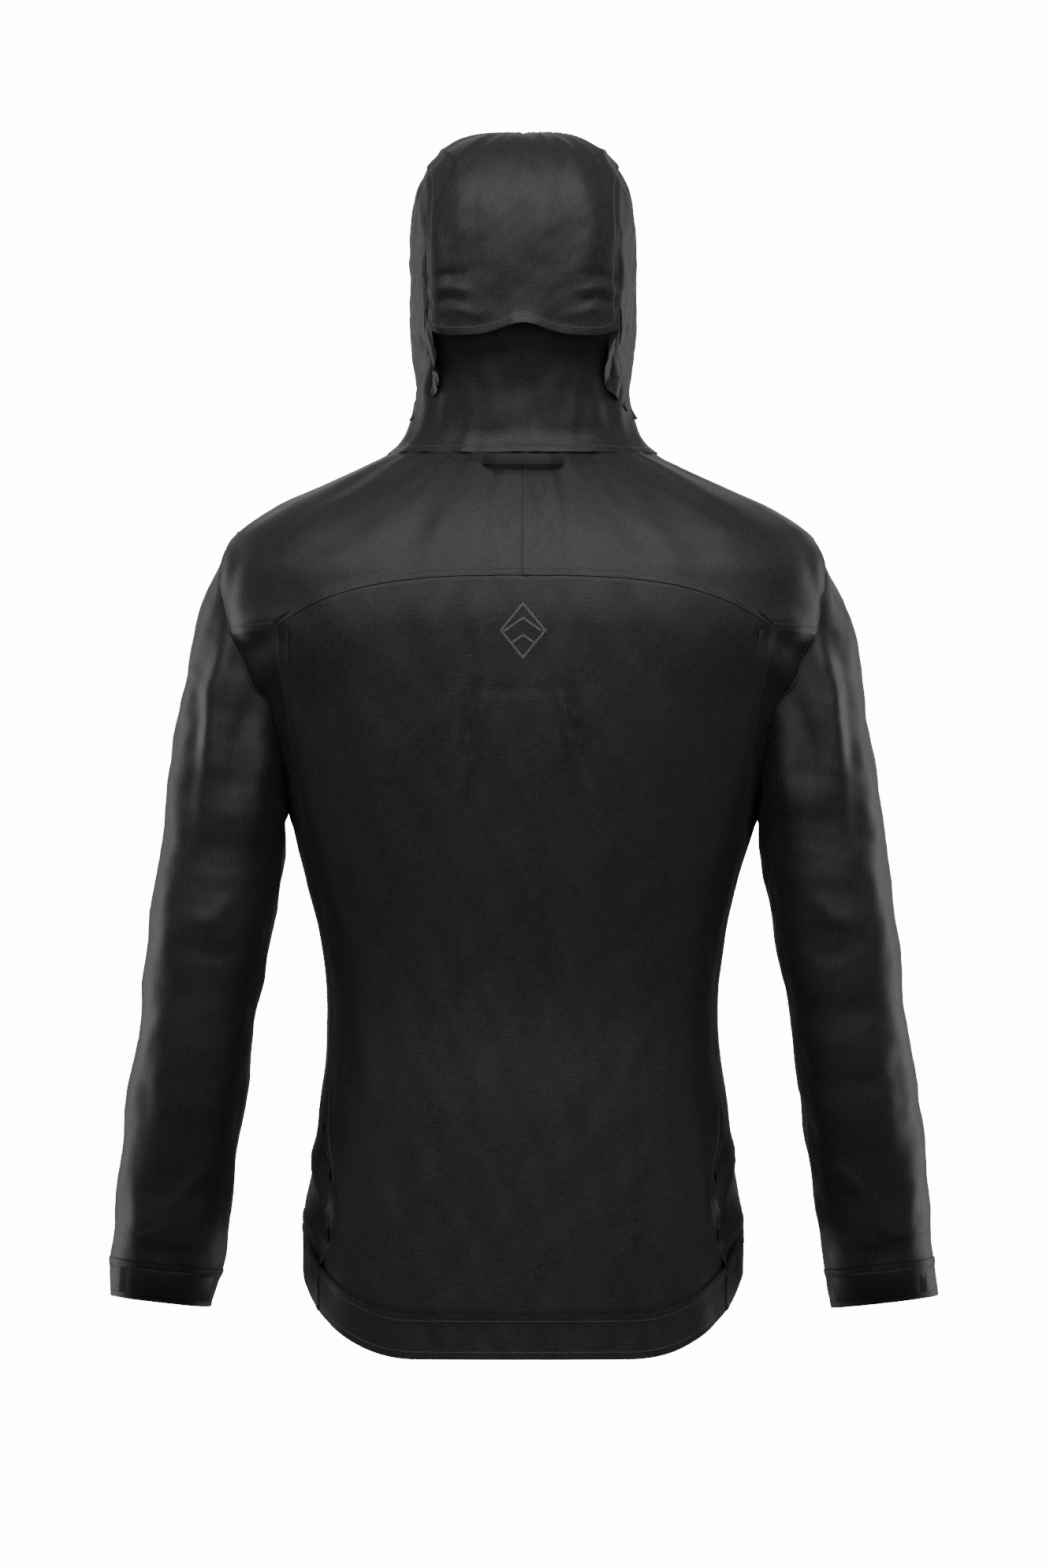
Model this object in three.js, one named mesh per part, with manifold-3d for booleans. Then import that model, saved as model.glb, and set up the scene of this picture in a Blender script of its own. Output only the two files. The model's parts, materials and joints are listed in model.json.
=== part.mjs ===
// Hooded hardshell jacket in its worn shape, in millimetres, +Z up.
// The front faces -Y and the wearer's left is +X. The origin is where the shoulders carry the jacket:
// the centre of the neck seam, between the two shoulders.
import * as THREE from "three";
import { mergeVertices } from "three/addons/utils/BufferGeometryUtils.js";
import Module from "manifold-3d";

const wasm = await Module();
wasm.setup();

// ---- Driving dimensions ----------------------------------------------------------------------
// Heights are measured up from the lowest point of the back hem.
const NECK_HEIGHT = 764; // centre-back length, hem to neck seam
const SHOULDER_TIP_HEIGHT = 692;
const YOKE_CENTRE_HEIGHT = 659;
const YOKE_SIDE_HEIGHT = 613;
const UNDERARM_HEIGHT = 455;
const WAIST_HEIGHT = 290;
const DROP_TAIL = 95; // how much higher the front hem is than the back hem
const HEM_BAND = 38;
// The collar and the hood stand on the neck seam.
const CHIN_HEIGHT = NECK_HEIGHT + 86; // top of the closed collar
const EQUATOR_HEIGHT = NECK_HEIGHT + 151; // where the hood's dome begins
const DOME_RISE = 121;
const FLAP_HEIGHT = NECK_HEIGHT + 98; // lower edge of the hood's rear flap
const NECK_PANEL_TOP = FLAP_HEIGHT + 23; // tucked up under the flap

const HEM_HALF_WIDTH = 188;
const WAIST_HALF_WIDTH = 166;
const CHEST_HALF_WIDTH = 226;
const SHOULDER_TIP = 246;
const NECK_HALF_WIDTH = 114;
const HOOD_HALF_WIDTH = 96;
const HEM_BACK = 128; // depth of the back from the middle plane
const WAIST_BACK = 117;
const CHEST_BACK = 137;
const NECK_BACK = 75;
const HOOD_BACK = 103;
const HOOD_FRONT = 122;
const FRONT_AT_HEM = 145; // depth of the straight front edge at height 0
const FRONT_LEAN = 0.032; // how far it leans back for each millimetre up
const DOME_SQUARE = 3.1; // exponent of the dome: 2 is an ellipsoid, more is squarer
const CROWN_SHARE = 0.83; // half width of the crown panel as a share of the dome's

const CLOTH = 1.2; // shell laminate with its seam allowances
const SEAM_GAP = 1.6; // between two panels sewn edge to edge
const LAYER_GAP = 0.9; // between two layers lying on each other
const ARMHOLE_GAP = 3.2;

const CUFF_BAND = 34;
const CUFF_TAB_WIDTH = 24;
const CUFF_TAB_THICK = 1.6;

const ZIP_LINE_HALF = 8; // front panels stop this far from the middle
const CHAIN_HALF_GAP = 0.9; // from the middle to each row of teeth
const CHAIN_ROW = 2.4;
const CHAIN_THICK = 2.2;
const TAPE_WIDTH = 14;
const TAPE_THICK = 0.8;
const SLIDER_LENGTH = 13;
const SLIDER_WIDTH = 10;
const SLIDER_WALL = 1.3;
const SLIDER_CLEAR = 0.4;
const PULLER_LENGTH = 34;
const PULLER_LEGS = 9;
const PULLER_WIDTH = 7;
const PULLER_THICK = 1.6;
const STOP_LENGTH = 6;
const ZIP_BOX = 10;
const ZIP_FLAP_WIDTH = 34;

const POCKET_LENGTH = 168;
const POCKET_LOW = { x: 128, height: 232 };
const POCKET_LEAN = 12; // degrees from upright, top towards the middle
const POCKET_TAPE = 8;
const POCKET_LIFT = 1.2; // of the zip above the panel it is bonded to

const CORD = 3;
const HEM_CORD_ABOVE_EDGE = 14;
const HEM_CORD_END_ANGLE = 143;
const HOOD_CORD_HEIGHT = EQUATOR_HEIGHT - 18;
const HOOD_CORD_END_ANGLE = 104;
const LOCK_LENGTH = 14;
const LOCK_THICK = 8;
const LOCK_HEIGHT = 17;
const LOCK_CORD_AT = 11.5; // height of the cord's hole in the lock
const LOCK_BORE = 7.2;
const LOCK_BORE_DEPTH = 7;
const BUTTON = 6.2;
const BUTTON_PROUD = 3;
const BUTTON_TRAVEL = 2.4;

const LOOP_SPAN = 68;
const LOOP_FLAT = 46;
const LOOP_WEBBING = 9;
const LOOP_THICK = 1.4;
const LOOP_STANDOFF = 8;

const EMBLEM_HEIGHT = 612;
const EMBLEM_HALF = 24;
const EMBLEM_LINE = 2.2;
const EMBLEM_THICK = 0.8;
const BACKING_HALF = 23;
const SEAM_TAPE = 20;

// ---- Materials -------------------------------------------------------------------------------
const finish = (color, roughness, metalness = 0) =>
  new THREE.MeshStandardMaterial({ color, roughness, metalness });
const SHELL = finish(0x1d1d1e, 0.78);
const LINING = finish(0x2a2a2c, 0.9);
const WEBBING = finish(0x1a1a1b, 0.85);
const TAPE = finish(0x161617, 0.8);
const CHAIN = finish(0x101011, 0.45);
const METAL = finish(0x2b2c2e, 0.35, 0.9);
const MOULDED = finish(0x121213, 0.5);
const CORD_SLEEVE = finish(0x202022, 0.8);
const THREAD = finish(0x4a4b4c, 0.6);

// ---- Curves ----------------------------------------------------------------------------------
const radians = THREE.MathUtils.degToRad;
const mix = THREE.MathUtils.lerp;

// A smooth curve through [place, value] pairs, without overshoot between two equal values.
function profile(pairs) {
  const slope = (i) =>
    (pairs[i + 1][1] - pairs[i][1]) / (pairs[i + 1][0] - pairs[i][0]);
  const tangents = pairs.map((_, i) => {
    if (i === 0) return slope(0);
    if (i === pairs.length - 1) return slope(i - 1);
    const [before, after] = [slope(i - 1), slope(i)];
    if (before * after <= 0) return 0;
    return (2 * before * after) / (before + after);
  });
  return (place) => {
    const last = pairs.length - 2;
    let i = pairs.findIndex((pair) => pair[0] > place) - 1;
    if (i < 0) i = place < pairs[0][0] ? 0 : last;
    const [x0, y0] = pairs[i];
    const [x1, y1] = pairs[i + 1];
    const width = x1 - x0;
    const t = THREE.MathUtils.clamp((place - x0) / width, 0, 1);
    return (
      y0 * (1 + 2 * t) * (1 - t) ** 2 +
      y1 * t * t * (3 - 2 * t) +
      width * tangents[i] * t * (1 - t) ** 2 +
      width * tangents[i + 1] * t * t * (t - 1)
    );
  };
}

// A path of [angle, height] pairs on the jacket, walked from 0 to 1.
function path(points, shares = points.map((_, i) => i / (points.length - 1))) {
  const angle = profile(points.map((p, i) => [shares[i], p[0]]));
  const height = profile(points.map((p, i) => [shares[i], p[1]]));
  return (t) => [angle(t), height(t)];
}

// The area between four paths: bottom and top run the same way, and so do left and right.
function patch(bottom, top, left, right) {
  const corners = [bottom(0), bottom(1), top(0), top(1)];
  return (u, v) =>
    [0, 1].map(
      (k) =>
        mix(bottom(u)[k], top(u)[k], v) +
        mix(left(v)[k], right(v)[k], u) -
        mix(mix(corners[0][k], corners[1][k], u), mix(corners[2][k], corners[3][k], u), v),
    );
}

// ---- The jacket's outer surface --------------------------------------------------------------
// Every level section is a rounded oval. The angle is 0 at the centre back, 90 at the wearer's left
// side and 180 at the centre front.
const SHOULDER_LEVELS = [0.36, 0.6, 0.86]; // of the way from the tip up to the neck seam
const shoulderLevel = (share) => mix(SHOULDER_TIP_HEIGHT, NECK_HEIGHT, share);
const halfWidth = profile([
  [0, HEM_HALF_WIDTH],
  [98, HEM_HALF_WIDTH - 1],
  [WAIST_HEIGHT - 90, WAIST_HALF_WIDTH + 7],
  [WAIST_HEIGHT, WAIST_HALF_WIDTH],
  [WAIST_HEIGHT + 60, WAIST_HALF_WIDTH + 6],
  [UNDERARM_HEIGHT - 22, CHEST_HALF_WIDTH - 34],
  [549, CHEST_HALF_WIDTH],
  [616, SHOULDER_TIP + 10],
  [660, SHOULDER_TIP + 13],
  [SHOULDER_TIP_HEIGHT, SHOULDER_TIP],
  [shoulderLevel(SHOULDER_LEVELS[0]), mix(SHOULDER_TIP, NECK_HALF_WIDTH, 0.26)],
  [shoulderLevel(SHOULDER_LEVELS[1]), mix(SHOULDER_TIP, NECK_HALF_WIDTH, 0.54)],
  [shoulderLevel(SHOULDER_LEVELS[2]), mix(SHOULDER_TIP, NECK_HALF_WIDTH, 0.85)],
  [NECK_HEIGHT, NECK_HALF_WIDTH],
  [NECK_HEIGHT + 20, HOOD_HALF_WIDTH + 2],
  [NECK_HEIGHT + 50, HOOD_HALF_WIDTH - 5],
  [FLAP_HEIGHT + 12, HOOD_HALF_WIDTH],
  [EQUATOR_HEIGHT, HOOD_HALF_WIDTH],
]);
const backDepth = profile([
  [0, HEM_BACK],
  [WAIST_HEIGHT - 90, WAIST_BACK + 5],
  [WAIST_HEIGHT, WAIST_BACK],
  [433, CHEST_BACK - 8],
  [560, CHEST_BACK],
  [616, CHEST_BACK],
  [660, CHEST_BACK - 6],
  [SHOULDER_TIP_HEIGHT, CHEST_BACK - 17],
  [shoulderLevel(SHOULDER_LEVELS[0]), NECK_BACK + 32],
  [shoulderLevel(SHOULDER_LEVELS[2]), NECK_BACK + 8],
  [NECK_HEIGHT, NECK_BACK],
  [NECK_HEIGHT + 20, NECK_BACK - 5],
  [NECK_HEIGHT + 50, NECK_BACK - 5],
  [FLAP_HEIGHT, NECK_BACK + 5],
  [FLAP_HEIGHT + 18, HOOD_BACK - 11],
  [FLAP_HEIGHT + 38, HOOD_BACK - 2],
  [EQUATOR_HEIGHT, HOOD_BACK],
]);
const frontAt = (height) => FRONT_AT_HEM - FRONT_LEAN * height;
const frontDepth = (height) =>
  height < CHIN_HEIGHT
    ? frontAt(height)
    : mix(frontAt(CHIN_HEIGHT), HOOD_FRONT, Math.min(1, (height - CHIN_HEIGHT) / 65));
const squareness = profile([
  [0, 2.4],
  [WAIST_HEIGHT + 60, 2.4],
  [549, 2.7],
  [616, 3],
  [660, 3],
  [SHOULDER_TIP_HEIGHT, 2.8],
  [NECK_HEIGHT, 2.2],
  [NECK_HEIGHT + 50, 2.3],
  [FLAP_HEIGHT, 2.6],
  [EQUATOR_HEIGHT, DOME_SQUARE],
]);
const signedPower = (value, power) => Math.sign(value) * Math.abs(value) ** power;

function onBody(angle, height, side = 1, back = backDepth) {
  const level = Math.min(height, EQUATOR_HEIGHT);
  const power = 2 / squareness(level);
  const rise = Math.max(0, (height - EQUATOR_HEIGHT) / DOME_RISE);
  const shrink = Math.max(0, 1 - rise ** DOME_SQUARE) ** (1 / DOME_SQUARE);
  const turn = radians(angle);
  const depth = Math.cos(turn) > 0 ? back(level) : frontDepth(level);
  return new THREE.Vector3(
    side * halfWidth(level) * shrink * signedPower(Math.sin(turn), power),
    depth * shrink * signedPower(Math.cos(turn), power),
    height - NECK_HEIGHT,
  );
}

// The crown panel runs from the brim over the top of the hood and down to the rear flap.
const CROWN_FRONT_TURN = 29.5; // degrees above the front of the dome
const flapEdge = (x) => {
  const arch = 11 * Math.exp(-((x / 24) ** 2));
  const corner = 7 * Math.max(0, (Math.abs(x) - 60) / 20) ** 2;
  return FLAP_HEIGHT + arch + corner;
};
const flapDepth = profile([
  [FLAP_HEIGHT - 5, HOOD_BACK - 4],
  [FLAP_HEIGHT + 20, HOOD_BACK - 1],
  [EQUATOR_HEIGHT, HOOD_BACK],
]);
const OVER_DOME = 0.8; // share of the crown's run that lies on the dome
function onCrown(u, v) {
  const x = HOOD_HALF_WIDTH * CROWN_SHARE * (2 * u - 1);
  const share = Math.abs(x / HOOD_HALF_WIDTH);
  const rest = (1 - share ** DOME_SQUARE) ** (1 / DOME_SQUARE);
  if (v > OVER_DOME) {
    const down = (v - OVER_DOME) / (1 - OVER_DOME);
    const height = mix(EQUATOR_HEIGHT, flapEdge(x), down);
    return new THREE.Vector3(x, flapDepth(height) * rest, height - NECK_HEIGHT);
  }
  const turn = radians(mix(CROWN_FRONT_TURN, 180, v / OVER_DOME));
  const depth = Math.cos(turn) > 0 ? -HOOD_FRONT : HOOD_BACK;
  const power = 2 / DOME_SQUARE;
  return new THREE.Vector3(
    x,
    depth * rest * Math.abs(Math.cos(turn)) ** power,
    EQUATOR_HEIGHT - NECK_HEIGHT + DOME_RISE * rest * Math.sin(turn) ** power,
  );
}

// ---- Seam lines on the body ------------------------------------------------------------------
const hemEdge = (angle) => {
  const t = THREE.MathUtils.clamp((angle - 25) / 90, 0, 1);
  return DROP_TAIL * t * t * (3 - 2 * t);
};
const hemSeam = (angle) => hemEdge(angle) + HEM_BAND;
const sideSeam = profile([
  [0, 74],
  [52, 71],
  [77, 66],
  [111, 60],
  [150, 62],
  [197, 72],
  [WAIST_HEIGHT + 10, 80],
  [UNDERARM_HEIGHT - 10, 78],
  [500, 67],
  [548, 60],
  [YOKE_SIDE_HEIGHT, 48],
]);
const SIDE_FOOT = hemSeam(sideSeam(HEM_BAND + 24));
const sideLine = (v) => {
  const height = mix(SIDE_FOOT, YOKE_SIDE_HEIGHT, v);
  return [sideSeam(height), height];
};
const YOKE_END = sideSeam(YOKE_SIDE_HEIGHT);
const yokeSeam = (angle) =>
  mix(YOKE_CENTRE_HEIGHT, YOKE_SIDE_HEIGHT, (angle / YOKE_END) ** 2);

// The armhole, by turns from 0 at the shoulder tip through 90 at the back and 180 under the arm.
const armholeReach = profile([
  [0, 0],
  [35, 9.5],
  [69, 18],
  [98, 22.5],
  [120, 17.5],
  [150, 7],
  [180, 0],
]);
const armhole = (turn) => [
  90 - Math.sign(turn) * armholeReach(Math.abs(turn)),
  mix(UNDERARM_HEIGHT, SHOULDER_TIP_HEIGHT, (1 + Math.cos(radians(turn))) / 2),
];
const YOKE_BACK_TURN = 72; // where the yoke's lower edge meets the armhole
const YOKE_FRONT_TURN = -54;
const GUSSET_FRONT_TURN = -126;
// The seam between the side and front panels, up to the armhole.
const FRONT_SEAM_TOP = armhole(GUSSET_FRONT_TURN);
const frontSideSeam = profile([
  [DROP_TAIL, 110],
  [WAIST_HEIGHT, 106],
  [UNDERARM_HEIGHT - 40, 105],
  [FRONT_SEAM_TOP[1], FRONT_SEAM_TOP[0]],
]);
const FRONT_FOOT = hemSeam(frontSideSeam(DROP_TAIL + HEM_BAND));
const frontLine = (t) => {
  const height = mix(FRONT_FOOT, FRONT_SEAM_TOP[1], t);
  return [frontSideSeam(height), height];
};
const YOKE_NECK_ANGLE = 125; // where the yoke ends on the neck seam
const yokeFront = path([armhole(YOKE_FRONT_TURN), [YOKE_NECK_ANGLE, NECK_HEIGHT]]);
const COLLAR_ANGLE = 100; // seam between the hood's neck panel and the collar

const angleAtWidth = (x, height) => {
  const share = Math.min(1, x / halfWidth(height));
  return 180 - THREE.MathUtils.radToDeg(Math.asin(share ** (squareness(height) / 2)));
};

// ---- Solids ----------------------------------------------------------------------------------
// A surface's outward normal, found from two short steps along it.
function normalAt(surface, u, v) {
  const step = 1e-3;
  const along = surface(Math.min(1, u + step), v).sub(surface(Math.max(0, u - step), v));
  const across = surface(u, Math.min(1, v + step)).sub(surface(u, Math.max(0, v - step)));
  return along.cross(across).normalize();
}

// How far along a line of a surface lies the point that is this far from the line's start.
function shareOf(distance, line) {
  const start = line(0);
  let share = 0.01;
  for (let i = 0; i < 6; i += 1) {
    const found = line(share).distanceTo(start);
    share = Math.min(0.2, (share * distance) / Math.max(found, 0.01));
  }
  return share;
}

// A box bent onto a surface: a sheet of cloth with its own thickness and edges. Its outer face lies
// `above` the surface. Edges are drawn in by the two gaps. Flip says that the normal points inwards.
function sheet(surface, { cells, thick = CLOTH, above = 0, flip = false, gapU, gapV }) {
  const [startU, endU] = gapU ?? [SEAM_GAP / 2, SEAM_GAP / 2];
  const [startV, endV] = gapV ?? [SEAM_GAP / 2, SEAM_GAP / 2];
  const box = new THREE.BoxGeometry(1, 1, 1, cells[0], cells[1], 1);
  const place = box.getAttribute("position");
  for (let i = 0; i < place.count; i += 1) {
    const [s, t] = [place.getX(i) + 0.5, place.getY(i) + 0.5];
    const alongU = (u) => surface(u, t);
    const alongV = (v) => surface(s, v);
    const u = mix(shareOf(startU, alongU), 1 - shareOf(endU, (k) => alongU(1 - k)), s);
    const v = mix(shareOf(startV, alongV), 1 - shareOf(endV, (k) => alongV(1 - k)), t);
    const normal = normalAt(surface, u, v).multiplyScalar(flip ? -1 : 1);
    const lift = place.getZ(i) > 0 ? above : above - thick;
    const point = surface(u, v).addScaledVector(normal, lift);
    place.setXYZ(i, point.x, point.y, point.z);
  }
  return facingOut(bare(evenWall(box)));
}

// The box splits the squares of its two large faces along opposite diagonals, which on a bent sheet
// would bring the faces together. This turns the diagonals of the inner face, so that the wall is even.
function evenWall(box) {
  const index = box.index.array;
  const { start, count } = box.groups[5];
  for (let i = start; i < start + count; i += 6) {
    const [a, b, c, d] = [index[i], index[i + 1], index[i + 4], index[i + 2]];
    index.set([a, b, c, a, c, d], i);
  }
  return box;
}

// Only positions, with shared corners merged.
function bare(geometry) {
  const positions = geometry.clone();
  positions.deleteAttribute("normal");
  positions.deleteAttribute("uv");
  return mergeVertices(positions, 1e-4);
}

function facingOut(geometry) {
  const place = geometry.getAttribute("position");
  const index = geometry.index.array;
  const corner = (k) => new THREE.Vector3().fromBufferAttribute(place, index[k]);
  let volume = 0;
  for (let i = 0; i < index.length; i += 3) {
    volume += corner(i).dot(corner(i + 1).cross(corner(i + 2)));
  }
  if (volume < 0) {
    for (let i = 0; i < index.length; i += 3) {
      [index[i], index[i + 1]] = [index[i + 1], index[i]];
    }
  }
  return geometry;
}

const box = (width, length, height, x = 0, y = 0, z = 0) =>
  new THREE.BoxGeometry(width, length, height).translate(x, y, z);

function toSolid(geometry) {
  const merged = bare(geometry);
  return new wasm.Manifold(
    new wasm.Mesh({
      numProp: 3,
      vertProperties: new Float32Array(merged.getAttribute("position").array),
      triVerts: new Uint32Array(merged.index.array),
    }),
  );
}

function toGeometry(solid) {
  const mesh = solid.getMesh();
  return new THREE.BufferGeometry()
    .setAttribute("position", new THREE.BufferAttribute(mesh.vertProperties, 3))
    .setIndex(new THREE.BufferAttribute(mesh.triVerts, 1));
}

const cut = (geometry, ...tools) =>
  toGeometry(tools.reduce((left, tool) => left.subtract(toSolid(tool)), toSolid(geometry)));
const join = (geometry, ...others) =>
  toGeometry(others.reduce((whole, other) => whole.add(toSolid(other)), toSolid(geometry)));

const jacket = new THREE.Group();
function add(name, geometry, material, parent = jacket) {
  const mesh = new THREE.Mesh(geometry, material);
  mesh.name = name;
  parent.add(mesh);
  return mesh;
}

// Both sides of the jacket: side is 1 on the wearer's left and -1 on the right.
const SIDES = [
  ["left", 1],
  ["right", -1],
];
const lifted = (area, side, back) => (u, v) => onBody(...area(u, v), side, back);

// ---- Torso panels ----------------------------------------------------------------------------
// The hem seam's height between two seams that end on it.
function hemLine(feet, t) {
  const settles = feet.map(([angle, height]) => height - hemSeam(angle));
  return hemSeam(mix(feet[0][0], feet[1][0], t)) + mix(...settles, t);
}

function backPanel() {
  const foot = sideLine(0);
  const bottom = (u) => {
    const angle = (2 * u - 1) * foot[0];
    const settle = foot[1] - hemSeam(foot[0]);
    return [angle, hemSeam(Math.abs(angle)) + settle * Math.abs(2 * u - 1)];
  };
  const top = (u) => [(2 * u - 1) * YOKE_END, yokeSeam(Math.abs(2 * u - 1) * YOKE_END)];
  const mirrored = (v) => [-sideLine(v)[0], sideLine(v)[1]];
  const area = patch(bottom, top, mirrored, sideLine);
  return sheet((u, v) => onBody(...area(u, v)), { cells: [20, 12], flip: true });
}

// The side panel is walked down the side seam, along the hem and up to the front of the armhole, and
// across from those seams to the armhole.
function sidePanel(side) {
  const feet = [sideLine(0), frontLine(0)];
  const along = (t) => [mix(feet[0][0], feet[1][0], t), hemLine(feet, t)];
  const seams = (u) => {
    const step = u * 24;
    if (step < 12) return sideLine(1 - step / 12);
    if (step < 16) return along((step - 12) / 4);
    return frontLine((step - 16) / 8);
  };
  const end = GUSSET_FRONT_TURN - 18;
  const opening = (u) => armholeBehind(mix(YOKE_BACK_TURN, 360 + end, u));
  const top = path([sideLine(1), armhole(YOKE_BACK_TURN)]);
  const last = (v) => armhole(mix(GUSSET_FRONT_TURN, end, v));
  // Places are counted as shares of the way between the two seams while the paths are blended, so
  // that no cell crosses a seam.
  const reach = (height) => frontSideSeam(height) - sideSeam(height);
  const asShares = (line) => (t) => {
    const [angle, height] = line(t);
    return [(angle - sideSeam(height)) / reach(height), height];
  };
  const blended = patch(...[seams, opening, top, last].map(asShares));
  const area = (u, v) => {
    const [share, height] = blended(u, v);
    return [sideSeam(height) + share * reach(height), height];
  };
  return sheet(lifted(area, side), {
    cells: [24, 6],
    flip: side > 0,
    gapU: [SEAM_GAP / 2, ARMHOLE_GAP / 2],
    gapV: [SEAM_GAP / 2, ARMHOLE_GAP / 2],
  });
}
const armholeBehind = (turn) => armhole(turn > 180 ? turn - 360 : turn);

function yoke(side) {
  const outer = (u) => {
    const step = u * 15;
    if (step < 6) return [(step / 6) * YOKE_END, yokeSeam((step / 6) * YOKE_END)];
    if (step < 8) return path([[YOKE_END, YOKE_SIDE_HEIGHT], armhole(YOKE_BACK_TURN)])((step - 6) / 2);
    return armhole(mix(YOKE_BACK_TURN, YOKE_FRONT_TURN, (step - 8) / 7));
  };
  const inner = (u) => [u * YOKE_NECK_ANGLE, NECK_HEIGHT];
  const centre = path([
    [0, YOKE_CENTRE_HEIGHT],
    [0, NECK_HEIGHT],
  ]);
  return sheet(lifted(patch(outer, inner, centre, yokeFront), side), {
    cells: [15, 6],
    gapU: [SEAM_GAP / 2, SEAM_GAP],
    flip: side > 0,
  });
}

// Where the front panel ends at the zip, as an angle for each height.
const zipEdge = (height) => angleAtWidth(ZIP_LINE_HALF, height);

function frontPanelSurface(side) {
  const low = hemSeam(180);
  const feet = [frontLine(0), [zipEdge(low), low]];
  const bottom = (u) => [mix(feet[0][0], feet[1][0], u), hemLine(feet, u)];
  const left = (v) => {
    if (v < 0.5) return frontLine(v * 2);
    if (v < 0.7) return armhole(mix(GUSSET_FRONT_TURN, YOKE_FRONT_TURN, (v - 0.5) / 0.2));
    return yokeFront((v - 0.7) / 0.3);
  };
  const right = (v) => {
    const height = mix(low, NECK_HEIGHT, v);
    return [zipEdge(height), height];
  };
  const top = path([
    [YOKE_NECK_ANGLE, NECK_HEIGHT],
    [zipEdge(NECK_HEIGHT), NECK_HEIGHT],
  ]);
  return lifted(patch(bottom, top, left, right), side);
}

// ---- Hem -------------------------------------------------------------------------------------
function hemStrip(from, to, side, options) {
  const surface = (u, v) => {
    const angle = mix(from, to, u);
    const height = hemEdge(Math.abs(angle)) + v * HEM_BAND;
    return onBody(angle, height, side);
  };
  return sheet(surface, { flip: side > 0, ...options });
}
const HEM_SEAM_ANGLE = sideLine(0)[0]; // where the back and front bands meet
const HEM_TUNNEL = CLOTH + 3 * LAYER_GAP + CORD; // how far the facing lies inside the outer face

// ---- Hood ------------------------------------------------------------------------------------
const neckPanelDepth = profile([
  [NECK_HEIGHT, NECK_BACK],
  [NECK_HEIGHT + 20, NECK_BACK - 5],
  [NECK_HEIGHT + 50, NECK_BACK - 5],
  [FLAP_HEIGHT, NECK_BACK + 5],
  [NECK_PANEL_TOP, NECK_BACK + 9],
]);
const hoodDepth = profile([
  [NECK_HEIGHT, NECK_BACK],
  [NECK_HEIGHT + 20, NECK_BACK - 5],
  [NECK_HEIGHT + 50, NECK_BACK - 5],
  [FLAP_HEIGHT - 24, NECK_BACK + 4],
  [FLAP_HEIGHT + 4, HOOD_BACK - 5],
  [EQUATOR_HEIGHT, HOOD_BACK],
]);
const NECK_TO_HOOD = [
  [80, NECK_HEIGHT + 56],
  [57, NECK_HEIGHT + 78],
];

// The crown's side edge, as a path over the dome and down the flap.
const CROWN_REST = (1 - CROWN_SHARE ** DOME_SQUARE) ** (1 / DOME_SQUARE);
const crownSeam = (t) => {
  const turn = radians(mix(180, CROWN_FRONT_TURN, t));
  const rise = CROWN_REST * Math.sin(turn) ** (2 / DOME_SQUARE);
  const across = CROWN_SHARE ** DOME_SQUARE / (1 - rise ** DOME_SQUARE);
  const angle = THREE.MathUtils.radToDeg(Math.asin(Math.sqrt(Math.min(1, across))));
  return [Math.cos(turn) < 0 ? angle : 180 - angle, EQUATOR_HEIGHT + DOME_RISE * rise];
};
const FLAP_CORNER = FLAP_HEIGHT + 6;
const behindEar = (height) => {
  const share = (HOOD_HALF_WIDTH * CROWN_SHARE) / halfWidth(height);
  return [THREE.MathUtils.radToDeg(Math.asin(share ** (squareness(height) / 2))), height];
};
const FACE_TOP = crownSeam(1);
const FACE_LOW = [150, CHIN_HEIGHT + 10];
const faceEdge = path([FACE_LOW, [124, EQUATOR_HEIGHT - 25], [118, EQUATOR_HEIGHT + 15], FACE_TOP]);
const COLLAR_BACK = [98, NECK_HEIGHT + 36];
function neckPanel() {
  const side = path([[COLLAR_ANGLE, NECK_HEIGHT], COLLAR_BACK, ...NECK_TO_HOOD, behindEar(NECK_PANEL_TOP)]);
  const surface = (u, v) => {
    const share = 2 * u - 1;
    const [edge, height] = side(v);
    const level = mix(mix(NECK_HEIGHT, NECK_PANEL_TOP, v), height, Math.abs(share));
    const hollow = (value) => mix(neckPanelDepth(value), hoodDepth(value), share ** 4);
    return onBody(share * edge, level, 1, hollow);
  };
  return sheet(surface, { cells: [16, 8], flip: true, gapU: [2.2, 2.2] });
}

const CHIN = [zipEdge(CHIN_HEIGHT), CHIN_HEIGHT];
const chinSeam = path([COLLAR_BACK, [122, CHIN_HEIGHT - 28], FACE_LOW, [168, CHIN_HEIGHT + 4], CHIN]);

function hoodSide(side) {
  const rear = path([COLLAR_BACK, ...NECK_TO_HOOD, behindEar(FLAP_CORNER), crownSeam(0)]);
  const area = patch((u) => chinSeam(u / 2), crownSeam, rear, faceEdge);
  return sheet(lifted(area, side, hoodDepth), { cells: [8, 12], flip: side > 0, gapU: [2, 0.8], gapV: [0.8, 1.2] });
}

function collar(side) {
  const left = path([[COLLAR_ANGLE, NECK_HEIGHT], COLLAR_BACK]);
  const right = (v) => {
    const height = mix(NECK_HEIGHT, CHIN_HEIGHT, v);
    return [zipEdge(height), height];
  };
  const bottom = (u) => [mix(COLLAR_ANGLE, zipEdge(NECK_HEIGHT), u), NECK_HEIGHT];
  const area = patch(bottom, chinSeam, left, right);
  return sheet(lifted(area, side), { cells: [16, 4], flip: side > 0 });
}

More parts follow.
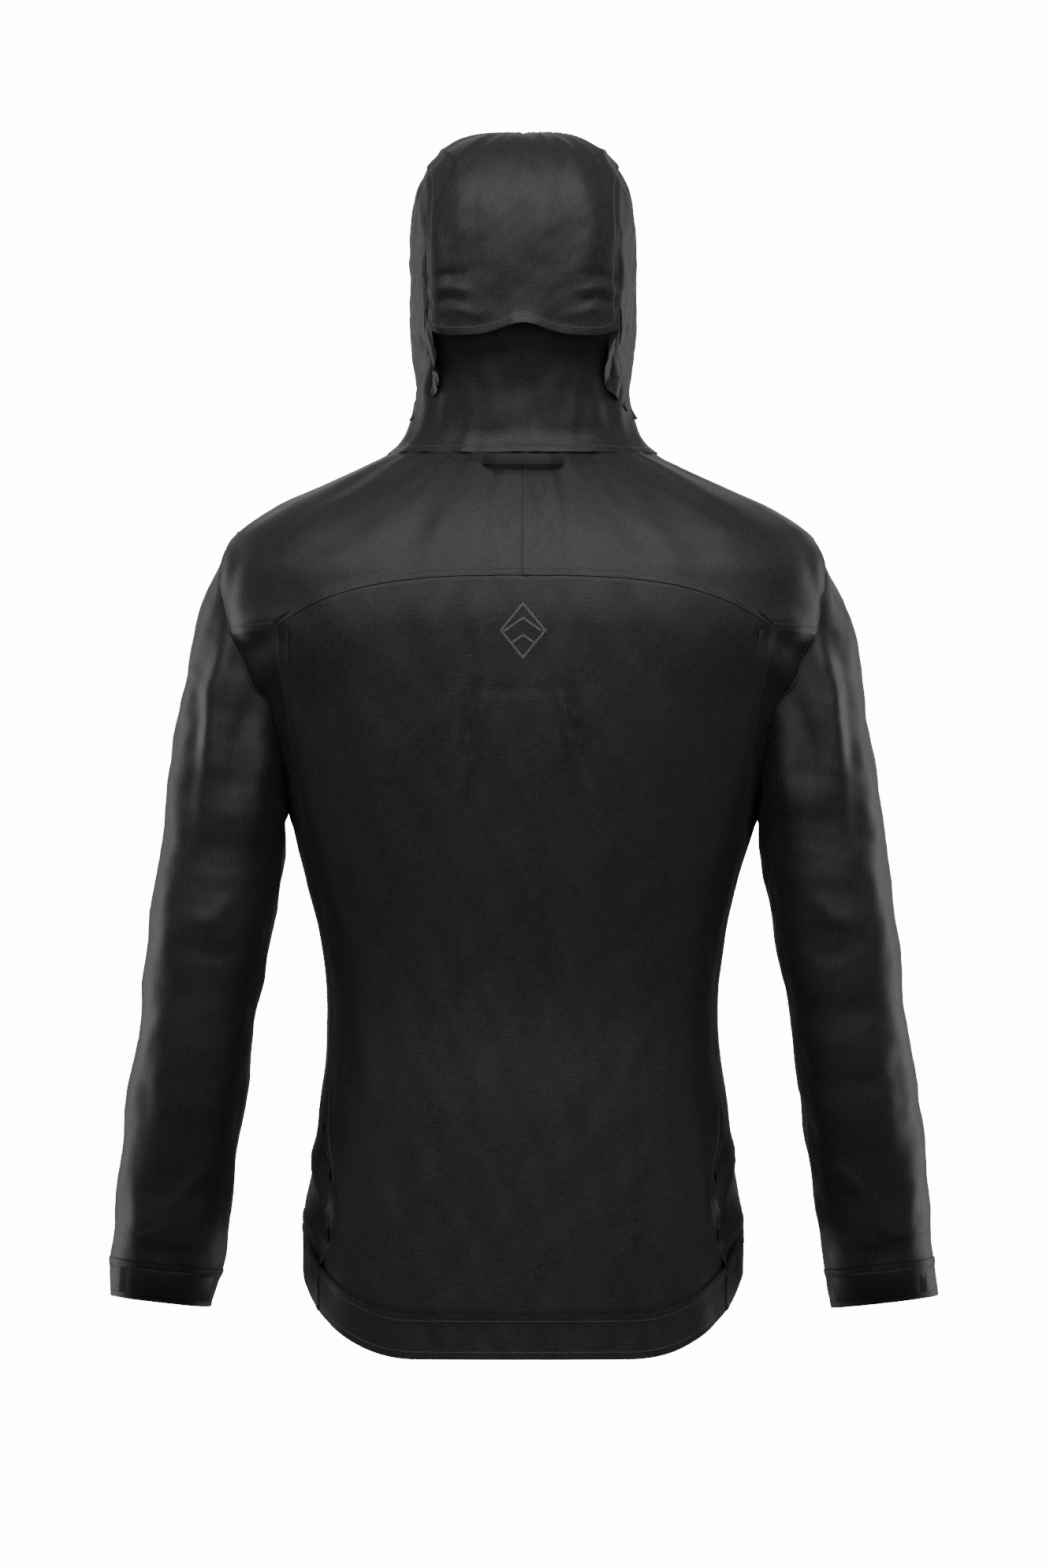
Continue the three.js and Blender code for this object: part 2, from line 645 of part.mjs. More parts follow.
const BRIM_REACH = 26;
const BRIM_THICK = 2.4;
function brim() {
  const surface = (u, v) => {
    const edge = onCrown(u, 0);
    const out = 0.3 + 0.7 * Math.sqrt(Math.max(0, 1 - (2 * u - 1) ** 2));
    const reach = BRIM_REACH * out * v;
    return edge.add(new THREE.Vector3(0, -reach, -0.32 * reach));
  };
  return sheet(surface, { cells: [12, 2], thick: BRIM_THICK, above: 0.4, flip: true, gapV: [1.4, 0] });
}

// ---- Sleeves ---------------------------------------------------------------------------------
// Rungs from the armhole to the cuff: outer point, inner point, half depth and centre's y. The outer
// x is counted from the shoulder tip and the inner x from the chest's half width.
const rung = (outer, inner, depth, y) => ({
  outer: [SHOULDER_TIP + outer[0], outer[1]],
  inner: [CHEST_HALF_WIDTH + inner[0], inner[1]],
  depth,
  y,
});
const WRIST = rung([106, 48], [39, 38], 52, -34);
const RUNGS = [
  rung([30, 628], [-26, 450], 74, 0),
  rung([47, 545], [-26, 440], 74, 1),
  rung([60, 455], [-24, 420], 73, 2),
  rung([71, 368], [-12, 354], 70, 4),
  rung([83, 266], [5, 252], 66, 1),
  rung([97, 166], [19, 152], 61, -13),
  rung([102.5, 98], [28, 87], 57, -25),
  WRIST,
];
const SLEEVE_SQUARE = 2.2;

// A ring's point: the turn is 0 on the outer side, 90 at the back and 180 on the inner side.
function ringPoint(rung, turn) {
  const power = 2 / SLEEVE_SQUARE;
  const across = (1 + signedPower(Math.cos(radians(turn)), power)) / 2;
  return new THREE.Vector3(
    mix(rung.inner[0], rung.outer[0], across),
    rung.y + rung.depth * signedPower(Math.sin(radians(turn)), power),
    mix(rung.inner[1], rung.outer[1], across) - NECK_HEIGHT,
  );
}

// The first ring is the armhole itself, so that the sleeve grows out of the body.
function onSleeve(turn, along, side) {
  const folded = ((((turn + 180) % 360) + 360) % 360) - 180;
  const root = onBody(...armhole(folded)).add(new THREE.Vector3(ARMHOLE_GAP, 0, 0));
  const rings = [root, ...RUNGS.map((rung) => ringPoint(rung, folded))];
  const curve = new THREE.CatmullRomCurve3(rings, false, "centripetal");
  const point = curve.getPoint(along);
  point.x *= side;
  return point;
}
// A place on the sleeve by its distance up from the cuff's edge.
const WRIST_RUN = 51; // between the last two rungs
const cuffShare = (distance) => 1 - distance / (RUNGS.length * WRIST_RUN);
const CUFF_FROM = cuffShare(CUFF_BAND);
const GUSSET_TURNS = [162, 216];

function sleevePiece(turns, from, to, side, options) {
  const surface = (u, v) => onSleeve(mix(...turns, u), mix(from, to, v), side);
  return sheet(surface, { flip: side > 0, ...options });
}

// ---- Cuff tab --------------------------------------------------------------------------------
const TAB_SEWN_TURN = 150;
const TAB_FREE_TURN = 52;
const TAB_CENTRE = 17; // above the cuff's edge

// ---- Zips ------------------------------------------------------------------------------------
// A zip is built flat: x across, y up along the chain, z outwards, with z 0 in its middle layer.
function slider() {
  const inner = CHAIN_THICK + 2 * SLIDER_CLEAR;
  const thick = inner + 2 * SLIDER_WALL;
  const channel = 2 * (CHAIN_HALF_GAP + CHAIN_ROW + SLIDER_CLEAR);
  const web = 2 * (CHAIN_HALF_GAP - SLIDER_CLEAR);
  const slot = TAPE_THICK + 2 * SLIDER_CLEAR;
  const body = cut(
    box(SLIDER_WIDTH, SLIDER_LENGTH, thick),
    box(channel, SLIDER_LENGTH + 2, inner),
    box(SLIDER_WIDTH + 2, SLIDER_LENGTH + 2, slot),
  );
  const post = box(web, SLIDER_LENGTH / 3, thick - SLIDER_WALL, 0, SLIDER_LENGTH / 3, 0);
  const bail = cut(
    box(BAIL_WIDTH, BAIL_LENGTH, BAIL_RISE + 0.4, 0, 0, thick / 2 + BAIL_RISE / 2 - 0.2),
    box(BAIL_WIDTH + 2, BAIL_LENGTH - 3, BAIL_RISE - 1.2, 0, 0, thick / 2 + (BAIL_RISE - 1.2) / 2),
  );
  return join(body, post, bail);
}
const BAIL_WIDTH = 2.4;
const BAIL_LENGTH = 9;
const BAIL_RISE = 3.4;
const SLIDER_THICK = CHAIN_THICK + 2 * SLIDER_CLEAR + 2 * SLIDER_WALL;
// The puller's eye passes under the bail, and the puller swings about that point.
const PIVOT_Z = SLIDER_THICK / 2 + (BAIL_RISE - 1.2) / 2;
const PIVOT_Y = -BAIL_LENGTH / 2 + 2.7;

function puller() {
  const eye = 1.5; // the rod of the eye that passes under the bail
  const legs = BAIL_WIDTH / 2 + SLIDER_CLEAR;
  const rod = box(2 * legs + 2 * eye, eye, 1.4, 0, PIVOT_Y, PIVOT_Z);
  const leg = (x) => box(eye, PULLER_LEGS, 1.4, x, PIVOT_Y + (eye - PULLER_LEGS) / 2, PIVOT_Z);
  const tabTop = PIVOT_Y + eye / 2 - PULLER_LEGS + 0.8;
  const tab = box(PULLER_WIDTH, PULLER_LENGTH, PULLER_THICK, 0, tabTop - PULLER_LENGTH / 2, PIVOT_Z);
  return join(rod, leg(legs + eye / 2), leg(-legs - eye / 2), tab);
}

const ZIP_BOTTOM = hemEdge(180) + 3;
const ZIP_TOP = CHIN_HEIGHT - 3;
const ZIP_LENGTH = ZIP_TOP - ZIP_BOTTOM;
const ZIP_SINK = CLOTH + 2.2; // the chain's middle lies this far inside the front edge line

// A group whose y runs up the front edge and whose z points forwards.
function frontFrame() {
  const up = new THREE.Vector3(0, FRONT_LEAN, 1).normalize();
  const right = new THREE.Vector3(1, 0, 0);
  const out = right.clone().cross(up);
  const frame = new THREE.Group();
  frame.quaternion.setFromRotationMatrix(new THREE.Matrix4().makeBasis(right, up, out));
  frame.position.copy(onBody(180, ZIP_BOTTOM)).addScaledVector(out, -ZIP_SINK);
  return frame;
}

// A group for a hand-pocket zip: a straight line resting on the front panel.
function pocketFrame(side) {
  const at = (x, height) => onBody(angleAtWidth(x, height), height, side);
  const drop = POCKET_LENGTH * Math.cos(radians(POCKET_LEAN));
  const lean = POCKET_LENGTH * Math.sin(radians(POCKET_LEAN));
  const low = at(POCKET_LOW.x, POCKET_LOW.height);
  const high = at(POCKET_LOW.x - lean, POCKET_LOW.height + drop);
  const up = high.clone().sub(low).normalize();
  const middleX = POCKET_LOW.x - lean / 2;
  const middleHeight = POCKET_LOW.height + drop / 2;
  const across = at(middleX + 8, middleHeight).sub(at(middleX - 8, middleHeight));
  const out = across.multiplyScalar(side).cross(up).normalize();
  const right = up.clone().cross(out);
  // Lift the line until the whole tape clears the panel.
  let rise = 0;
  for (let i = 0; i <= 20; i += 1) {
    for (const shift of [-9, 0, 9]) {
      const share = i / 20;
      const point = at(POCKET_LOW.x - lean * share + shift, POCKET_LOW.height + drop * share);
      rise = Math.max(rise, point.sub(low).dot(out));
    }
  }
  const frame = new THREE.Group();
  frame.quaternion.setFromRotationMatrix(new THREE.Matrix4().makeBasis(right, up, out));
  const sink = SLIDER_THICK / 2;
  frame.position.copy(low).addScaledVector(out, rise + POCKET_LIFT + sink);
  return frame;
}

// A pocket zip is closed at both ends, so that its tapes and its chain are one piece.
function pocketZip() {
  const row = (side) =>
    join(
      box(CHAIN_ROW, POCKET_LENGTH, CHAIN_THICK, side * (CHAIN_HALF_GAP + CHAIN_ROW / 2), POCKET_LENGTH / 2),
      box(
        POCKET_TAPE,
        POCKET_LENGTH,
        TAPE_THICK,
        side * (CHAIN_HALF_GAP + CHAIN_ROW + POCKET_TAPE / 2 - 0.2),
        POCKET_LENGTH / 2,
      ),
    );
  const end = (y) => box(2 * (CHAIN_HALF_GAP + CHAIN_ROW), STOP_LENGTH, CHAIN_THICK + 1, 0, y);
  return join(row(1), row(-1), end(STOP_LENGTH / 2), end(POCKET_LENGTH - STOP_LENGTH / 2));
}

// ---- Trims -----------------------------------------------------------------------------------
// A strip of webbing that stands off the neck seam, with its two ends sewn down.
function hangerLoop() {
  const [span, flat] = [LOOP_SPAN / 2, LOOP_FLAT / 2];
  const base = backDepth(NECK_HEIGHT - LOOP_WEBBING - 2) + 0.6;
  const shape = new THREE.Shape();
  shape.moveTo(-span, base);
  shape.lineTo(-flat, base + LOOP_STANDOFF);
  shape.lineTo(flat, base + LOOP_STANDOFF);
  shape.lineTo(span, base);
  shape.lineTo(span - 3, base - 0.2);
  shape.lineTo(flat - 1, base + LOOP_STANDOFF - LOOP_THICK);
  shape.lineTo(1 - flat, base + LOOP_STANDOFF - LOOP_THICK);
  shape.lineTo(3 - span, base - 0.2);
  shape.closePath();
  return bare(new THREE.ExtrudeGeometry(shape, { depth: LOOP_WEBBING, bevelEnabled: false })).translate(
    0,
    0,
    -LOOP_WEBBING - 2,
  );
}

// A plain geometric mark in raised thread: a rhombus with two chevrons inside it.
function emblem() {
  const extrude = (shape) =>
    new THREE.ExtrudeGeometry(shape, { depth: EMBLEM_THICK, bevelEnabled: false });
  const wide = EMBLEM_HALF * 0.82;
  const corners = (scale) => [
    new THREE.Vector2(0, -EMBLEM_HALF * scale),
    new THREE.Vector2(wide * scale, 0),
    new THREE.Vector2(0, EMBLEM_HALF * scale),
    new THREE.Vector2(-wide * scale, 0),
  ];
  const ring = new THREE.Shape(corners(1));
  ring.holes.push(new THREE.Path(corners(1 - EMBLEM_LINE / wide / 0.7)));
  const chevron = (foot) => {
    const reach = wide * (1 - Math.abs(foot) / EMBLEM_HALF) - 0.6;
    const rise = reach * 0.7;
    return new THREE.Shape([
      new THREE.Vector2(-reach, foot),
      new THREE.Vector2(0, foot + rise),
      new THREE.Vector2(reach, foot),
      new THREE.Vector2(reach - EMBLEM_LINE, foot - EMBLEM_LINE),
      new THREE.Vector2(0, foot + rise - EMBLEM_LINE * 1.5),
      new THREE.Vector2(EMBLEM_LINE - reach, foot - EMBLEM_LINE),
    ]);
  };
  const mark = join(extrude(ring), extrude(chevron(1)), extrude(chevron(-9)));
  const place = mark.getAttribute("position");
  for (let i = 0; i < place.count; i += 1) {
    const [x, z, raised] = [place.getX(i), place.getY(i) + EMBLEM_HEIGHT, place.getZ(i)];
    const angle = 180 - angleAtWidth(Math.abs(x), z);
    place.setXYZ(i, x, onBody(angle, z).y + 0.6 + raised, z - NECK_HEIGHT);
  }
  return facingOut(mark);
}

// ---- Cords and locks -------------------------------------------------------------------------
function cordAlong(points, steps) {
  const section = new THREE.Shape();
  const sides = 8;
  for (let i = 0; i < sides; i += 1) {
    const turn = (i / sides) * 2 * Math.PI;
    const corner = [(CORD / 2) * Math.cos(turn), (CORD / 2) * Math.sin(turn)];
    if (i === 0) section.moveTo(...corner);
    else section.lineTo(...corner);
  }
  section.closePath();
  const extrudePath = new THREE.CatmullRomCurve3(points, false, "centripetal");
  return bare(new THREE.ExtrudeGeometry(section, { steps, extrudePath }));
}

// A point inside the cloth, `depth` in from the outer face.
function inside(angle, height, depth) {
  const surface = (u, v) => onBody(angle + (u - 0.5) * 4, height + (v - 0.5) * 4);
  return surface(0.5, 0.5).addScaledVector(normalAt(surface, 0.5, 0.5), depth);
}

// The lock is built with the cord along x, its button below and z 0 at the cord.
function lockBody() {
  const shape = new THREE.Shape();
  const [low, high] = [-LOCK_CORD_AT, LOCK_HEIGHT - LOCK_CORD_AT];
  shape.moveTo(-LOCK_THICK / 2, low);
  shape.lineTo(LOCK_THICK / 2, low);
  shape.lineTo(LOCK_THICK / 2, high - 2);
  shape.lineTo(LOCK_THICK / 2 - 2, high);
  shape.lineTo(-LOCK_THICK / 2 + 2, high);
  shape.lineTo(-LOCK_THICK / 2, high - 2);
  shape.closePath();
  const hole = new THREE.Path();
  hole.absarc(0, 0, CORD / 2 + 0.7, 0, 2 * Math.PI);
  shape.holes.push(hole);
  const block = new THREE.ExtrudeGeometry(shape, {
    depth: LOCK_LENGTH,
    bevelEnabled: false,
    curveSegments: 5,
  });
  // The extrusion runs along z: turn it so that it runs along x, with the shape's y up.
  block.translate(0, 0, -LOCK_LENGTH / 2);
  block.applyMatrix4(
    new THREE.Matrix4().makeBasis(
      new THREE.Vector3(0, 1, 0),
      new THREE.Vector3(0, 0, 1),
      new THREE.Vector3(1, 0, 0),
    ),
  );
  const bore = new THREE.CylinderGeometry(LOCK_BORE / 2, LOCK_BORE / 2, LOCK_BORE_DEPTH + 1, 12)
    .rotateX(Math.PI / 2)
    .translate(0, 0, -LOCK_CORD_AT + (LOCK_BORE_DEPTH - 1) / 2);
  return cut(block, bore);
}

function lockButton() {
  const length = BUTTON_PROUD + LOCK_BORE_DEPTH - BUTTON_TRAVEL - 0.6;
  return new THREE.CylinderGeometry(BUTTON / 2, BUTTON / 2, length, 12)
    .rotateX(Math.PI / 2)
    .translate(0, 0, -LOCK_CORD_AT - BUTTON_PROUD + length / 2);
}

// A group that turns a part's own x, y and z to these three directions and puts it at a point.
function placed(origin, right, up, out) {
  const group = new THREE.Group();
  group.quaternion.setFromRotationMatrix(new THREE.Matrix4().makeBasis(right, up, out));
  group.position.copy(origin);
  jacket.add(group);
  return group;
}

// The straight end of a cord and the lock on it: where the lock sits, and which way the cord runs.
function lockSeat(angle, height, depth, side) {
  const at = (turn) => inside(turn, height(turn), depth);
  const origin = at(angle);
  const along = at(angle + side * 2).sub(origin).normalize();
  return { origin, along };
}

function addLock(name, seat) {
  const up = new THREE.Vector3(0, 0, 1);
  const out = new THREE.Vector3().crossVectors(up, seat.along).normalize();
  const group = placed(seat.origin, seat.along, out, seat.along.clone().cross(out));
  add(`${name}_lock`, lockBody(), MOULDED, group);
  add(`${name}_button`, lockButton(), MOULDED, group);
}

// ---- Assembly: shell -------------------------------------------------------------------------
add("back_panel", backPanel(), SHELL);
add("hood_crown", sheet(onCrown, { cells: [10, 16], flip: false, gapU: [0.8, 0.8], gapV: [1, 0] }), SHELL);
add("hood_neck_panel", neckPanel(), SHELL);
add("hood_brim", brim(), SHELL);
const lowGap = [0, SEAM_GAP / 2];
add(
  "hem_band_back",
  hemStrip(-HEM_SEAM_ANGLE, HEM_SEAM_ANGLE, 1, { cells: [20, 1], gapV: lowGap }),
  SHELL,
);
const FACING_END = HEM_CORD_END_ANGLE - 6;
add(
  "hem_facing",
  hemStrip(-FACING_END, FACING_END, 1, {
    cells: [32, 1],
    above: -HEM_TUNNEL,
    thick: 0.8,
    gapV: [2, 2],
  }),
  LINING,
);

for (const [word, side] of SIDES) {
  add(`yoke_${word}`, yoke(side), SHELL);
  add(`side_panel_${word}`, sidePanel(side), SHELL);
  add(`hood_side_${word}`, hoodSide(side), SHELL);
  add(`collar_${word}`, collar(side), SHELL);
  const zipAngle = zipEdge(hemEdge(180));
  add(
    `hem_band_front_${word}`,
    hemStrip(HEM_SEAM_ANGLE, zipAngle, side, { cells: [24, 1], gapV: lowGap }),
    SHELL,
  );
}

// ---- Assembly: sleeves -----------------------------------------------------------------------
for (const [word, side] of SIDES) {
  const mainTurns = [GUSSET_TURNS[1] - 360, GUSSET_TURNS[0]];
  add(
    `sleeve_main_${word}`,
    sleevePiece(mainTurns, 0, CUFF_FROM, side, {
      cells: [17, 12],
      gapV: [ARMHOLE_GAP, SEAM_GAP / 2],
      flip: side > 0,
    }),
    SHELL,
  );
  add(
    `sleeve_gusset_${word}`,
    sleevePiece(GUSSET_TURNS, 0, CUFF_FROM, side, {
      cells: [3, 12],
      gapV: [ARMHOLE_GAP, SEAM_GAP / 2],
      flip: side > 0,
    }),
    SHELL,
  );
  add(
    `cuff_${word}`,
    sleevePiece([190 - 360, 190], CUFF_FROM, 1, side, {
      cells: [22, 1],
      gapV: lowGap.slice().reverse(),
      flip: side > 0,
    }),
    SHELL,
  );
}


// ---- Assembly: front panels, pockets and the front zip ---------------------------------------
for (const [word, side] of SIDES) {
  const surface = frontPanelSurface(side);
  add(`front_panel_${word}`, sheet(surface, { cells: [9, 20], gapU: [1.2, 0.8], flip: side > 0 }), SHELL);
  const [bagFrom, bagTo] = [
    [0.16, 0.12],
    [0.86, 0.6],
  ];
  const bag = (u, v) => surface(mix(bagFrom[0], bagTo[0], u), mix(bagFrom[1], bagTo[1], v));
  add(
    `pocket_bag_${word}`,
    sheet(bag, { cells: [6, 8], thick: 0.6, above: -CLOTH - 2 * LAYER_GAP, flip: side > 0 }),
    LINING,
  );

  const frame = pocketFrame(side);
  jacket.add(frame);
  add(`pocket_zip_${word}`, pocketZip(), TAPE, frame);
  const riding = new THREE.Group();
  riding.position.y = POCKET_LENGTH - STOP_LENGTH - SLIDER_LENGTH / 2 - 1;
  frame.add(riding);
  add(`pocket_slider_${word}`, slider(), METAL, riding);
  add(`pocket_puller_${word}`, puller(), MOULDED, riding);
}

const zip = frontFrame();
jacket.add(zip);
const rowCentre = CHAIN_HALF_GAP + CHAIN_ROW / 2;
const rowLength = ZIP_LENGTH - STOP_LENGTH - ZIP_BOX - 0.8;
const rowMiddle = ZIP_BOX + 0.4 + rowLength / 2;
for (const [word, side] of SIDES) {
  const tapeCentre = CHAIN_HALF_GAP + CHAIN_ROW + 0.3 + TAPE_WIDTH / 2;
  add(
    `front_zip_tape_${word}`,
    box(TAPE_WIDTH, ZIP_LENGTH, TAPE_THICK, side * tapeCentre, ZIP_LENGTH / 2, 0),
    TAPE,
    zip,
  );
  add(
    `front_zip_chain_${word}`,
    box(CHAIN_ROW, rowLength, CHAIN_THICK, side * rowCentre, rowMiddle, 0),
    CHAIN,
    zip,
  );
  add(
    `front_zip_stop_${word}`,
    box(CHAIN_ROW, STOP_LENGTH, CHAIN_THICK + 1.2, side * rowCentre, ZIP_LENGTH - STOP_LENGTH / 2, 0),
    METAL,
    zip,
  );
}
const boxWidth = 2 * (CHAIN_HALF_GAP + CHAIN_ROW);
add("front_zip_box", box(boxWidth, ZIP_BOX, SLIDER_THICK, 0, ZIP_BOX / 2, 0), MOULDED, zip);
const flapZ = -SLIDER_THICK / 2 - SLIDER_CLEAR - CLOTH / 2;
add(
  "front_zip_flap",
  box(ZIP_FLAP_WIDTH, ZIP_LENGTH - 4, CLOTH, 0, ZIP_LENGTH / 2, flapZ),
  SHELL,
  zip,
);
const frontRider = new THREE.Group();
frontRider.position.y = ZIP_LENGTH - STOP_LENGTH - SLIDER_LENGTH / 2 - 1;
zip.add(frontRider);
add("front_slider", slider(), METAL, frontRider);
add("front_puller", puller(), MOULDED, frontRider);

// ---- Assembly: cuffs, cords and trims --------------------------------------------------------
for (const [word, side] of SIDES) {
  const top = cuffShare(TAB_CENTRE + CUFF_TAB_WIDTH / 2);
  const low = cuffShare(TAB_CENTRE - CUFF_TAB_WIDTH / 2);
  const around = [TAB_FREE_TURN, TAB_SEWN_TURN];
  const patchTurns = [TAB_FREE_TURN - 14, TAB_SEWN_TURN - 34];
  add(
    `cuff_loop_patch_${word}`,
    sleevePiece(patchTurns, top, low, side, {
      cells: [8, 2],
      thick: 0.8,
      above: 1.3,
      flip: side > 0,
    }),
    LINING,
  );
  add(
    `cuff_tab_${word}`,
    sleevePiece(around, top, low, side, {
      cells: [10, 2],
      thick: CUFF_TAB_THICK,
      above: 1.8 + CUFF_TAB_THICK,
      flip: side > 0,
    }),
    MOULDED,
  );
}

const hemCordHeight = (angle) => hemEdge(Math.abs(angle)) + HEM_CORD_ABOVE_EDGE;
const tunnelDepth = CLOTH + LAYER_GAP + CORD / 2;
const lockDepth = CLOTH + 1.5 * LAYER_GAP + LOCK_THICK / 2;
const hemEnd = (side) => lockSeat(side * HEM_CORD_END_ANGLE, hemCordHeight, lockDepth, side);
const straightEnd = (seat, ...steps) =>
  steps.map((step) => seat.origin.clone().addScaledVector(seat.along, step));
const hemRun = [];
for (let i = 0; i <= 24; i += 1) {
  const angle = mix(6 - FACING_END, FACING_END - 6, i / 24);
  hemRun.push(inside(angle, hemCordHeight(angle), tunnelDepth));
}
add(
  "hem_drawcord",
  cordAlong(
    [
      ...straightEnd(hemEnd(-1), 14, 5, 0, -5, -10),
      ...hemRun,
      ...straightEnd(hemEnd(1), -10, -5, 0, 5, 14),
    ],
    64,
  ),
  CORD_SLEEVE,
);
addLock("hem_right", hemEnd(-1));
addLock("hem_left", hemEnd(1));

const hoodCordHeight = () => HOOD_CORD_HEIGHT;
const hoodInside = (angle, depth) => {
  const surface = (u, v) =>
    onBody(angle + (u - 0.5) * 4, HOOD_CORD_HEIGHT + (v - 0.5) * 4, 1, hoodDepth);
  return surface(0.5, 0.5).addScaledVector(normalAt(surface, 0.5, 0.5), depth);
};
const rearSeat = {
  origin: hoodInside(0, lockDepth),
  along: new THREE.Vector3(1, 0, 0),
};
const hoodRun = (side) =>
  [18, 34, 48, 62, 76, 90, HOOD_CORD_END_ANGLE].map((angle) =>
    hoodInside(side * angle, tunnelDepth + 0.6),
  );
add(
  "hood_drawcord",
  cordAlong([...hoodRun(-1).reverse(), ...straightEnd(rearSeat, -10, 0, 10), ...hoodRun(1)], 36),
  CORD_SLEEVE,
);
addLock("hood_rear", rearSeat);

add("hanger_loop", hangerLoop(), WEBBING);
add("back_emblem", emblem(), THREAD);
const backing = (u, v) => {
  const x = mix(-1, 1, u) * BACKING_HALF;
  const height = mix(YOKE_CENTRE_HEIGHT - 96, YOKE_CENTRE_HEIGHT - 14, v);
  return onBody(Math.sign(x) * (180 - angleAtWidth(Math.abs(x), height)), height);
};
add(
  "emblem_backing",
  sheet(backing, { cells: [2, 4], flip: true, thick: 0.6, above: -CLOTH - 2.4 * LAYER_GAP }),
  LINING,
);
const tapeRun = (u, v) => {
  const angle = mix(3 - YOKE_END, YOKE_END - 3, u);
  return onBody(angle, yokeSeam(Math.abs(angle)) + mix(-SEAM_TAPE / 2, SEAM_TAPE / 2, v));
};
add(
  "yoke_seam_tape",
  sheet(tapeRun, { cells: [12, 1], flip: true, thick: 0.4, above: -CLOTH - 3 * LAYER_GAP - 0.8 }),
  TAPE,
);

export default jacket;
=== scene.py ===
"""Hooded hardshell jacket in its worn shape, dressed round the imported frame.

Lengths inside the drafting classes are millimetres and heights are counted up from the lowest point
of the back hem. Meshes are written in metres in the frame's own axes: the front faces -Y, the
wearer's left is +X and the neck seam is at z 0.
"""
import json
import logging
import math
from dataclasses import dataclass, field
from enum import Enum
from typing import Callable, Optional, Sequence, Union

import bmesh
import bpy
import numpy as np
from mathutils import Matrix, Vector


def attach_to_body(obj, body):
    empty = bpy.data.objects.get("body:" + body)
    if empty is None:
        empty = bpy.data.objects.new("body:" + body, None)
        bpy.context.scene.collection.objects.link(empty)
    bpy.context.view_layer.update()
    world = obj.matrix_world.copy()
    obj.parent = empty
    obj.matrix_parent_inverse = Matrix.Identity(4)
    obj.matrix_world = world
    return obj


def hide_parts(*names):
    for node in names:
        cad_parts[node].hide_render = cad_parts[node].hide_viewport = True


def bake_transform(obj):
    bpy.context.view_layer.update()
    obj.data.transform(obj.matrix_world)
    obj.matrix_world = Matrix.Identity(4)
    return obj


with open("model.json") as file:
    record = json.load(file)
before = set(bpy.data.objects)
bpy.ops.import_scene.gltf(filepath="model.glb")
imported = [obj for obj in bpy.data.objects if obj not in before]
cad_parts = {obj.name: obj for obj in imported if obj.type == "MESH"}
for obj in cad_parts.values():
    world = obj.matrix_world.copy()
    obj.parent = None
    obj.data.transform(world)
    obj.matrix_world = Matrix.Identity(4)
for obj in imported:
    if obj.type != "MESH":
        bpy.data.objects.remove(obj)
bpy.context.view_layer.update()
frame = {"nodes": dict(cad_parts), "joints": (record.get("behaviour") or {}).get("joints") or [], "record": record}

LOG = logging.getLogger("jacket")
Array = np.ndarray
Line = Callable[[Array], Array]
MM = 0.001
NECK = 764.0  # the height of the frame's z 0
CHIN = 850.0  # the height of the collar's top at the zip
SIDES = (("left", 1), ("right", -1))


# ---- Curves ------------------------------------------------------------------------------------
class Profile:
    """A smooth curve through (place, value) pairs that doesn't overshoot between equal values."""

    def __init__(self, *pairs: Sequence[float]) -> None:
        """Args: pairs: the points that the curve passes through, by rising place."""
        self.x, self.y = np.array(pairs, float).T
        slope = np.diff(self.y) / np.diff(self.x)
        before, after = slope[:-1], slope[1:]
        same = before * after > 0
        total = np.where(same, before + after, 1.0)
        inner = np.where(same, 2 * before * after / total, 0.0)
        self.tangent = np.concatenate([slope[:1], inner, slope[-1:]])

    def __call__(self, place: Array) -> Array:
        """Args: place: where to read the curve. Returns: its value there."""
        place = np.asarray(place, float)
        i = np.clip(np.searchsorted(self.x, place, "right") - 1, 0, len(self.x) - 2)
        width = self.x[i + 1] - self.x[i]
        t = np.clip((place - self.x[i]) / width, 0, 1)
        return (
            self.y[i] * (1 + 2 * t) * (1 - t) ** 2
            + self.y[i + 1] * t * t * (3 - 2 * t)
            + width * self.tangent[i] * t * (1 - t) ** 2
            + width * self.tangent[i + 1] * t * t * (t - 1)
        )


def mix(a: Array, b: Array, t: Array) -> Array:
    """Returns: the value that lies t of the way from a to b."""
    return a + (b - a) * t


def smooth(t: Array) -> Array:
    """Returns: an S-shaped step from 0 to 1 as t goes from 0 to 1."""
    t = np.clip(t, 0, 1)
    return t * t * (3 - 2 * t)


def pair(angle: Array, height: Array) -> Array:
    """Returns: angles and heights as one array of [angle, height]."""
    return np.stack(np.broadcast_arrays(angle, height), -1)


def path(*points: Sequence[float]) -> Line:
    """Args: points: [angle, height] places. Returns: the path through them, walked from 0 to 1."""
    shares = np.linspace(0, 1, len(points))
    angle = Profile(*zip(shares, [p[0] for p in points]))
    height = Profile(*zip(shares, [p[1] for p in points]))
    return lambda t: pair(angle(t), height(t))


def chained(t: Array, *runs: tuple[float, Line]) -> Array:
    """Lines walked one after another.

    Args:
        t: how far along the whole, 0 to 1.
        runs: the share at which each line ends, and the line.
    Returns:
        [angle, height] places.
    """
    t = np.asarray(t, float)
    out, start = None, 0.0
    for end, line in runs:
        here = line(np.clip((t - start) / (end - start), 0, 1))
        out = here if out is None else np.where((t > start)[..., None], here, out)
        start = end
    return out


